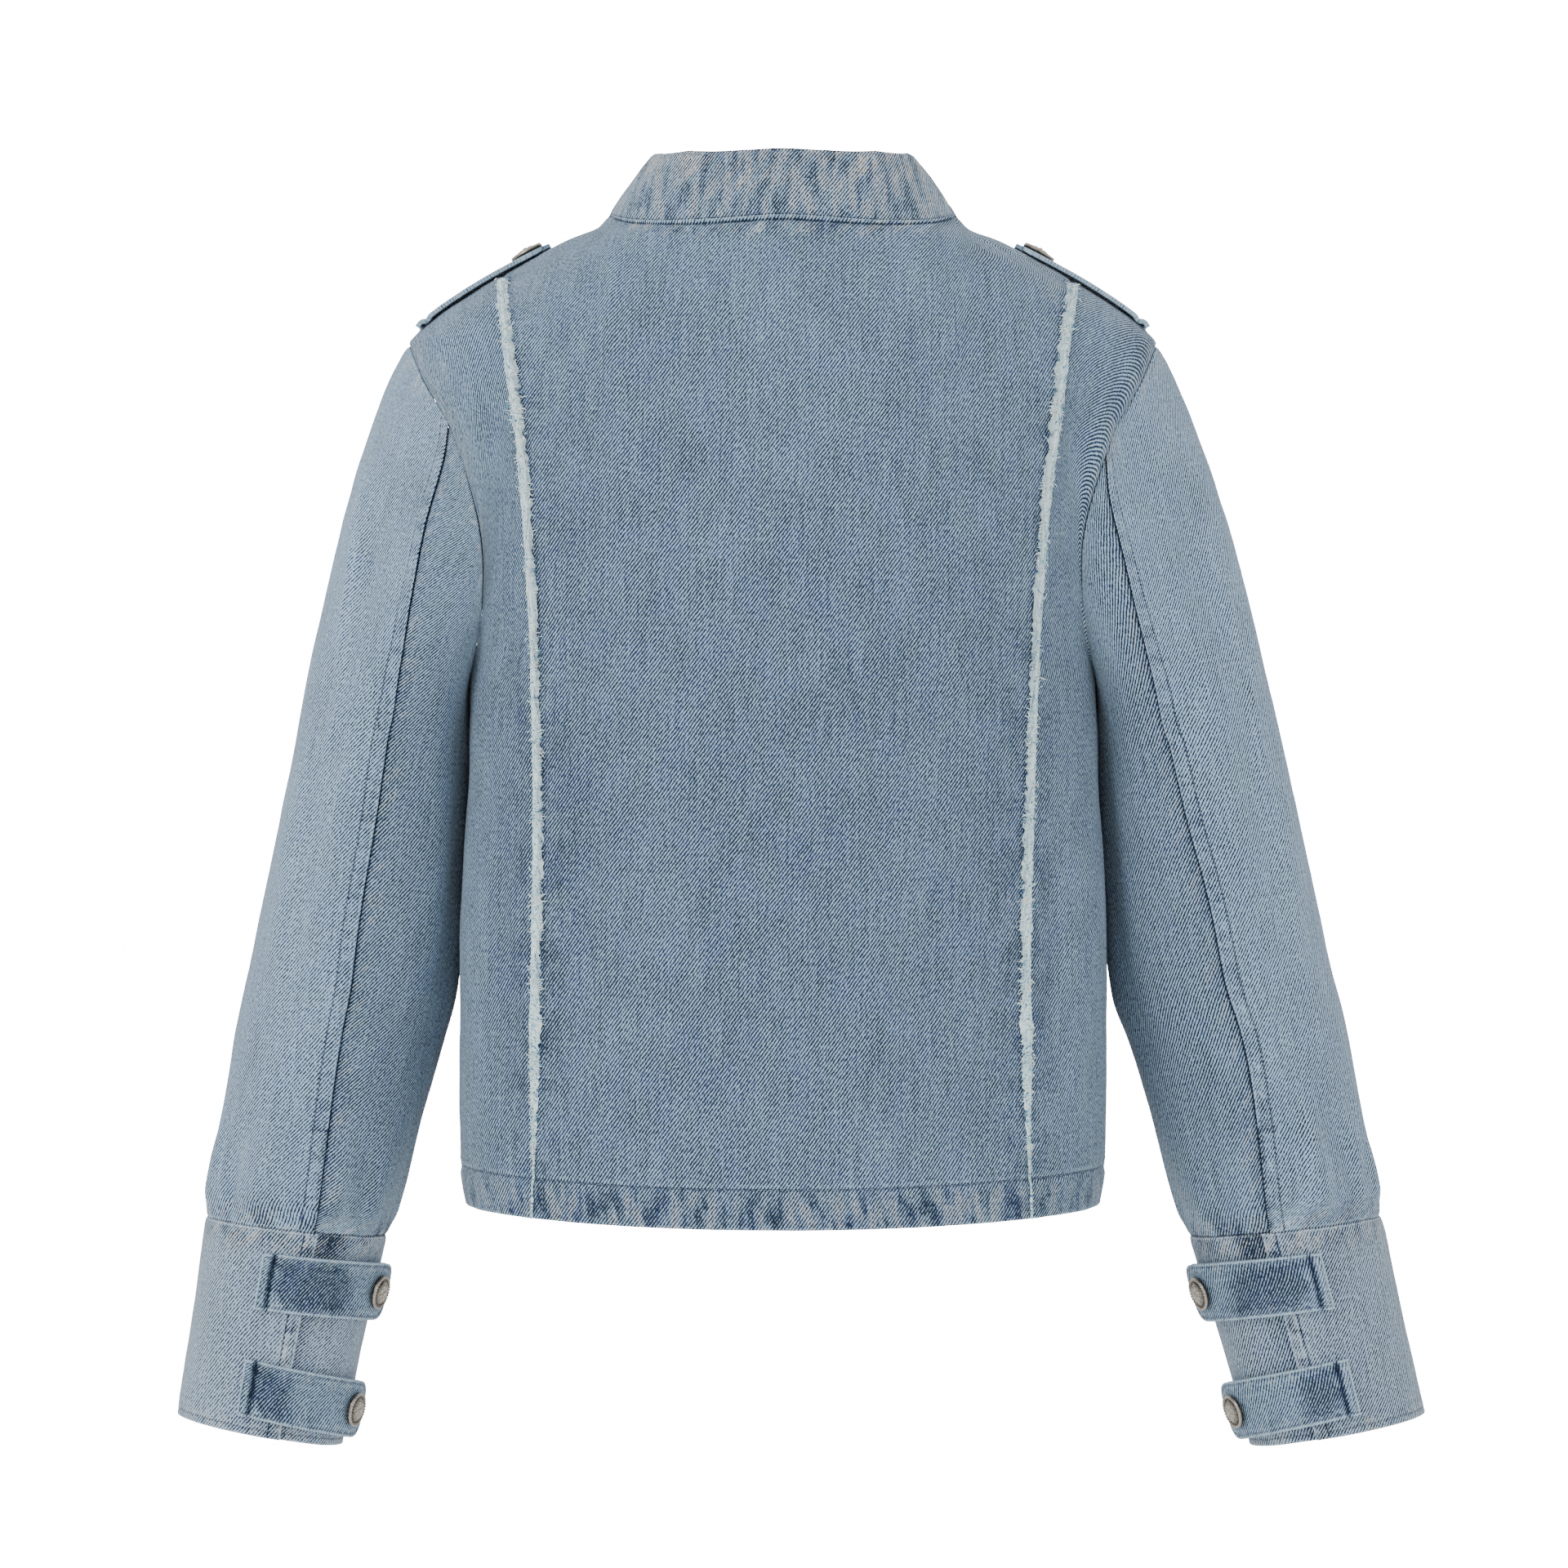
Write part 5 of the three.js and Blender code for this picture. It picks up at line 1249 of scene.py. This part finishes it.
def looseThreads(side):
    random = np.random.default_rng(fraying["seed"] + side)
    top = frayTop[side] - fraying["topGap"]
    count = fraying["tufts"]
    z = top - (top - body["hem"]) * random.uniform(0, 1, count) ** 1.15
    z = z + 5 * np.sin(z / 7)
    z = np.clip(z, body["hem"] + 4, top)
    half = read(frayWidth, "half", z)
    across = half * random.uniform(-1.05, 1.0, count)
    at, out = seamSpot(side, z, across)
    hanging = random.uniform(size=count) < 0.16  # these are longer, the rest curl on the seam
    inward = np.array([-side, 0, 0]) * np.where(random.uniform(size=count) < 0.7, 1, -1)[:, None]
    fade = smoothStep(body["hem"] + 10, -480, z)
    length = (0.8 + random.exponential(0.5, count).clip(0, 1.6) + 1.7 * hanging) * (0.35 + 0.65 * fade)
    climb = random.normal(0, 0.9, count)
    direction = unit(inward + np.array([0, 0, 1]) * climb[:, None])
    # clumps that sit lower get darker threads: painted shade, over the real mix of blue and white threads
    clump = 0.9 * softNoise(z / 2.1, across / 2.4, 45) + 0.4 * softNoise(z / 9, across / 5, 46)
    start = at + out * (random.uniform(0.9, 2.3, count) + 0.9 * clump)[:, None]
    middle = start + direction * (length * 0.5)[:, None] + out * random.uniform(0.1, 1.0, (count, 1))
    curl = unit(np.cross(direction, out)) * random.normal(0, 0.5, (count, 1)) * length[:, None]
    end = start + direction * length[:, None] + curl - out * random.uniform(0.2, 0.8, (count, 1))
    tint = np.clip(random.normal(0.66, 0.14, count) + clump, 0, 1)
    radius = random.uniform(0.14, 0.32, count) * (0.4 + 0.6 * fade)

    count = fraying["long"]
    z = random.uniform(body["hem"] + 30, top - 20, count)
    half = read(frayWidth, "half", z)
    reach = random.uniform(6, 22, count)
    points = []
    for share in (0, 0.5, 1):
        low = np.clip(z - reach * share, body["hem"] + 2, top)
        spot, facing = seamSpot(side, low, half * random.uniform(-1.1, 1.0, count))
        points.append(spot + facing * random.uniform(1.6, 3.0, (count, 1)))
    start, middle, end = (np.concatenate(pair) for pair in zip((start, middle, end), points))
    tint = np.concatenate([tint, random.uniform(0.3, 1, count)])
    radius = np.concatenate([radius, random.uniform(0.12, 0.22, count)])
    return start, middle, end, radius, tint


def bandMaterial():
    material, tree, shader = newMaterial("frayBand")
    place = clothPlace(tree)
    strands = noise(tree, stretched(tree, place, 2.4, 1.5), 1.0, 3.0, 0.6)
    patches = noise(tree, stretched(tree, place, 9, 16), 1.0, 2.0)
    patchy = calc(tree, "MULTIPLY_ADD", patches, 1.4, -2.15)
    share = calc(tree, "ADD", calc(tree, "MULTIPLY", strands, 4.4), patchy)
    chooser = addNode(tree, "ValToRGB", {0: share})
    steps = chooser.color_ramp.elements
    steps[0].position, steps[0].color = 0.2, (0.03, 0.13, 0.26, 1)
    steps[1].position, steps[1].color = 0.95, (0.85, 1.0, 1.0, 1)
    steps.new(0.45).color = (0.3, 0.6, 0.76, 1)
    steps.new(0.7).color = (0.74, 0.96, 1.0, 1)
    setSurface(tree, shader, chooser.outputs[0], strands, 1.0, 0.0012, {
        "Roughness": 0.95, "Sheen Weight": 0.5})
    return material


frayBand = bandMaterial()
for side, name in sides:
    bendRods("frayThreads" + name, *looseThreads(side), 3, frayThread, "raw_edge")
    frayed = clothSheet(
        "frayBand" + name, "frayed_seam_" + name.lower(), 8, 460, frayBandShape(side), plainRelief, 0.5,
        frayBand, {}, pack=(0, 0), seed=100 + side)
print("frayed seams ready")


# Stitching: rows at a distance from an edge of a piece
def edgeLine(cloth, edge, distance):
    reach, at, out = cloth["reach"][edge], cloth["at"], cloth["out"]
    if edge in ("bottom", "top"):
        reach, at, out = reach.T, at.swapaxes(0, 1), out.swapaxes(0, 1)
    if edge in ("right", "top"):
        reach, at, out = reach[:, ::-1], at[:, ::-1], out[:, ::-1]
    places, facing = [], []
    for line in range(len(reach)):
        places.append([np.interp(distance, reach[line], at[line, :, k]) for k in range(3)])
        facing.append([np.interp(distance, reach[line], out[line, :, k]) for k in range(3)])
    return np.array(places), np.array(facing)


def stitchRow(places, facing, skipStart=0.0, skipEnd=0.0, pitch=3.0, sink=0.05):
    steps = np.linalg.norm(np.diff(places, axis=0), axis=1)
    walked = np.concatenate([[0], np.cumsum(steps)])
    starts = np.arange(skipStart + 0.4, walked[-1] - skipEnd - pitch, pitch)
    ends = starts + pitch * 0.78

    def onLine(distance, values):
        return np.stack([np.interp(distance, walked, values[:, k]) for k in range(3)], -1)

    start = onLine(starts, places) - onLine(starts, facing) * (0.1 + sink)
    middle = onLine((starts + ends) / 2, places) + onLine((starts + ends) / 2, facing) * (0.5 - sink)
    end = onLine(ends, places) - onLine(ends, facing) * (0.1 + sink)
    return start, middle, end


def barTack(cloth, height):  # close stitches straight across the lap
    row = int(np.argmin(np.abs(cloth["at"][:, -1, 2] - height)))
    across = cloth["reach"]["right"][row] < 8.8
    return stitchRow(cloth["at"][row, across], cloth["out"][row, across], pitch=0.7)


def sewRows(name, rows, radius=0.24):
    start, middle, end = (np.concatenate([row[k] for row in rows]) for k in range(3))
    random = np.random.default_rng(len(start))
    tint = random.uniform(0.2, 0.8, len(start))
    bendRods(name, start, middle, end, np.full(len(start), radius), tint, 5, seamThread, "denim")


def edgeRows(key, rows):
    return [stitchRow(*edgeLine(pieces[key], edge, distance), *bare) for edge, distance, *bare in rows]


# The rows of each piece: edge, distance from it, and what stays bare at the start and the end
collarSewing = (("top", 2.2), ("bottom", 1.6))
lapSewing = (("right", 1.9, 4, 4), ("right", lapStitch, 4, 4))
cuffSewing = (("top", 1.8), ("bottom", 4.0), ("left", 1.8), ("left", 8.0))
strapSewing = (("top", 1.9, 2, 6), ("bottom", 1.9, 2, 6), ("left", 1.4), ("left", 4.4))
tabSewing = (("top", 1.9), ("bottom", 1.9), ("left", 1.9))
barTackHeights = (-495.2, -496, -496.8)

bodyRows, sleeveRows, cuffRows = [], [], []
for key in ("backCentre", "backSideLeft", "backSideRight", "frontLeft", "frontRight"):
    bodyRows += edgeRows(key, [("bottom", hemStitch)])
for edge in ("left", "right"):
    bodyRows += edgeRows("backCentre", [(edge, frayStitch, 2, 16)])
    bodyRows += edgeRows("frontBand", [(edge, 2.0)])
bodyRows += edgeRows("collar", collarSewing)
for side, name in sides:
    sleeveRows += edgeRows("sleeveUpper" + name, lapSewing)
    sleeveRows += [barTack(pieces["sleeveUpper" + name], height) for height in barTackHeights]
    cuffRows += edgeRows("cuff" + name, cuffSewing)
    for level in ("Upper", "Lower"):
        cuffRows += edgeRows("strap" + level + name, strapSewing)
    cuffRows += edgeRows("shoulderTab" + name, tabSewing)
sewRows("bodyStitching", bodyRows)
sewRows("sleeveStitching", sleeveRows)
sewRows("cuffStitching", cuffRows)
print("stitching ready")

# Dome buttons with a rope rim and a plain rosette
button = {"radius": 9.5, "beads": 34, "petals": 8, "gap": 0.35, "alongStrap": 0.81, "alongTab": 0.84}


def buttonShape():
    bm = bmesh.new()
    profile = [
        (0, 0), (8.3, 0), (9.2, 0.35), (button["radius"], 1.2), (9.3, 2.1), (8.7, 2.5), (8.1, 2.3),
        (7.7, 1.9), (7.2, 1.85), (6.8, 2.3), (6.3, 2.6), (5.6, 3.0), (4.6, 3.35), (3.2, 3.7), (1.7, 3.9),
        (0, 3.95)]
    points = [bm.verts.new((radius, 0, high)) for radius, high in profile]
    edges = [bm.edges.new(pair) for pair in zip(points, points[1:])]
    bmesh.ops.spin(
        bm, geom=points + edges, cent=(0, 0, 0), axis=(0, 0, 1), angle=2 * math.pi, steps=40,
        use_merge=True)
    bmesh.ops.remove_doubles(bm, verts=bm.verts, dist=0.01)
    for number in range(button["beads"]):
        turn = 2 * math.pi * number / button["beads"]
        made = bmesh.ops.create_uvsphere(bm, u_segments=6, v_segments=4, radius=0.5)["verts"]
        bmesh.ops.scale(bm, verts=made, vec=(1.0, 1.7, 1.0))
        bmesh.ops.rotate(bm, verts=made, cent=(0, 0, 0), matrix=Matrix.Rotation(0.6, 3, "Z"))
        bmesh.ops.translate(bm, verts=made, vec=(8.75, 0, 2.45))
        bmesh.ops.rotate(bm, verts=made, cent=(0, 0, 0), matrix=Matrix.Rotation(turn, 3, "Z"))
    for number in range(button["petals"]):
        turn = 2 * math.pi * number / button["petals"]
        made = bmesh.ops.create_uvsphere(bm, u_segments=8, v_segments=6, radius=1)["verts"]
        bmesh.ops.scale(bm, verts=made, vec=(1.75, 0.95, 0.5))
        bmesh.ops.rotate(bm, verts=made, cent=(0, 0, 0), matrix=Matrix.Rotation(0.12, 3, "Y"))
        bmesh.ops.translate(bm, verts=made, vec=(3.7, 0, 3.45))
        bmesh.ops.rotate(bm, verts=made, cent=(0, 0, 0), matrix=Matrix.Rotation(turn, 3, "Z"))
    made = bmesh.ops.create_uvsphere(bm, u_segments=12, v_segments=8, radius=1.3)["verts"]
    bmesh.ops.scale(bm, verts=made, vec=(1, 1, 0.6))
    bmesh.ops.translate(bm, verts=made, vec=(0, 0, 3.95))
    bmesh.ops.recalc_face_normals(bm, faces=bm.faces)
    return bm


def metalMaterial():
    material, tree, shader = newMaterial("agedMetal")
    hollow = addNode(tree, "Attribute", attribute_name="hollow").outputs["Fac"]
    place = addNode(tree, "TexCoord").outputs["Object"]
    blotch = noise(tree, place, 700.0, 3.0)
    scratch = noise(tree, stretched(tree, place, 0.0002, 0.004), 1.0, 2.0)
    dark = calc(tree, "ADD", hollow, calc(tree, "MULTIPLY_ADD", blotch, 0.8, -0.45))
    colour = blendColour(tree, dark, (0.48, 0.44, 0.385, 1), (0.045, 0.038, 0.032, 1))
    roughness = calc(tree, "MULTIPLY_ADD", blotch, 0.35, 0.18)
    setSurface(tree, shader, colour, scratch, 0.25, 0.0002, {"Metallic": 0.9, "Roughness": roughness})
    return material


agedMetal = metalMaterial()


def placeButton(name, node, at, out, turn=0.0):
    bm = buttonShape()
    shape = np.array([vertex.co[:] for vertex in bm.verts])
    radius = np.hypot(shape[:, 0], shape[:, 1])
    dome = 4.6 - 2.1 * (radius / button["radius"]) ** 2
    hollow = np.clip((dome - shape[:, 2] - 0.35) / 0.9, 0, 1)
    away = Vector(out.tolist())
    turned = away.to_track_quat("Z", "Y").to_matrix() @ Matrix.Rotation(turn, 3, "Z")
    bmesh.ops.transform(bm, verts=bm.verts, matrix=turned.to_4x4())
    bmesh.ops.translate(bm, verts=bm.verts, vec=Vector((at + out * button["gap"]).tolist()))
    bmesh.ops.scale(bm, verts=bm.verts, vec=(mm, mm, mm))
    mesh = bpy.data.meshes.new(name)
    bm.to_mesh(mesh)
    bm.free()
    mesh.attributes.new("hollow", "FLOAT", "POINT").data.foreach_set("value", hollow)
    piece = addPiece(name, mesh, agedMetal)
    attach(piece, "root")
    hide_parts(node)


def spotOf(shape, u, v):
    at, out = shape(np.array([[u]]), np.array([[v]]))
    return at[0, 0], out[0, 0]


for side, name in sides:
    low = name.lower()
    for level, strap in cuffStraps.items():
        at, out = spotOf(strapShape(strap, side), button["alongStrap"], 0.5)
        key = "cuffButton" + level.capitalize() + name
        placeButton(key, f"cuff_button_{level}_{low}", at, out, 0.3 * side)
    at, out = spotOf(tabShape(side), button["alongTab"], 0.5)
    placeButton("shoulderButton" + name, "shoulder_button_" + low, at, out)
for number in range(band["buttons"]):
    share = number / (band["buttons"] - 1)
    z = mix(band["top"] - band["firstButton"], body["hem"] + band["lastButton"], share)
    at, out = spotOf(frontBandShape, 0.5, (z - body["hem"]) / (band["top"] - body["hem"]))
    placeButton(f"frontButton{number + 1}", f"front_button_{number + 1}", at, out, number)
print("buttons ready")

# Floor, light and camera
studio = {
    "floorHeight": -1.35, "floorSize": 5.0, "backdrop": 16.0, "ambient": 1.16, "lightsAim": (0, 0, -0.3),
    "cameraPlace": (-0.000675, 2.8, -0.3114), "cameraAngle": 17.54 * degree,
}
# The lights: name, place, size, power
lights = [
    ("key", (1.9, 2.2, 1.5), 1.6, 65.0),
    ("fill", (-2.2, 2.0, 0.2), 2.2, 11.3),
    ("front", (0.6, -2.4, 0.8), 2.4, 11.3),
]
bm = bmesh.new()
bmesh.ops.create_grid(bm, x_segments=1, y_segments=1, size=studio["floorSize"] / 2)
bmesh.ops.translate(bm, verts=bm.verts, vec=(0, 0, studio["floorHeight"]))
floorMesh = bpy.data.meshes.new("floor")
bm.to_mesh(floorMesh)
bm.free()
floor = bpy.data.objects.new("floor", floorMesh)
bpy.context.collection.objects.link(floor)
floorMaterial, tree, shader = newMaterial("paleFloor")
shader.inputs["Base Color"].default_value = (0.86, 0.86, 0.85, 1)
floorMesh.materials.append(floorMaterial)

world = bpy.data.worlds.new("studio")
bpy.context.scene.world = world
world.use_nodes = True
tree = world.node_tree
tree.nodes.clear()
seen = addNode(tree, "Background", {"Color": (1, 1, 1, 1), "Strength": studio["backdrop"]})
ambient = addNode(tree, "Background", {"Color": (1, 1, 1, 1), "Strength": studio["ambient"]})
which = addNode(tree, "MixShader", {0: addNode(tree, "LightPath").outputs["Is Camera Ray"]})
tree.links.new(ambient.outputs[0], which.inputs[1])
tree.links.new(seen.outputs[0], which.inputs[2])
output = addNode(tree, "OutputWorld")
tree.links.new(which.outputs[0], output.inputs[0])


def addLight(name, place, size, power):
    data = bpy.data.lights.new(name, "AREA")
    data.size = size
    data.energy = power
    light = bpy.data.objects.new(name, data)
    light.location = place
    towards = light.location - Vector(studio["lightsAim"])
    light.rotation_euler = towards.to_track_quat("Z", "Y").to_euler()
    bpy.context.collection.objects.link(light)


for light in lights:
    addLight(*light)

cameraData = bpy.data.cameras.new("camera")
cameraData.angle = studio["cameraAngle"]
cameraData.clip_end = 60
camera = bpy.data.objects.new("camera", cameraData)
camera.location = studio["cameraPlace"]
camera.rotation_euler = (math.pi / 2, 0, math.pi)
bpy.context.collection.objects.link(camera)
bpy.context.scene.camera = camera
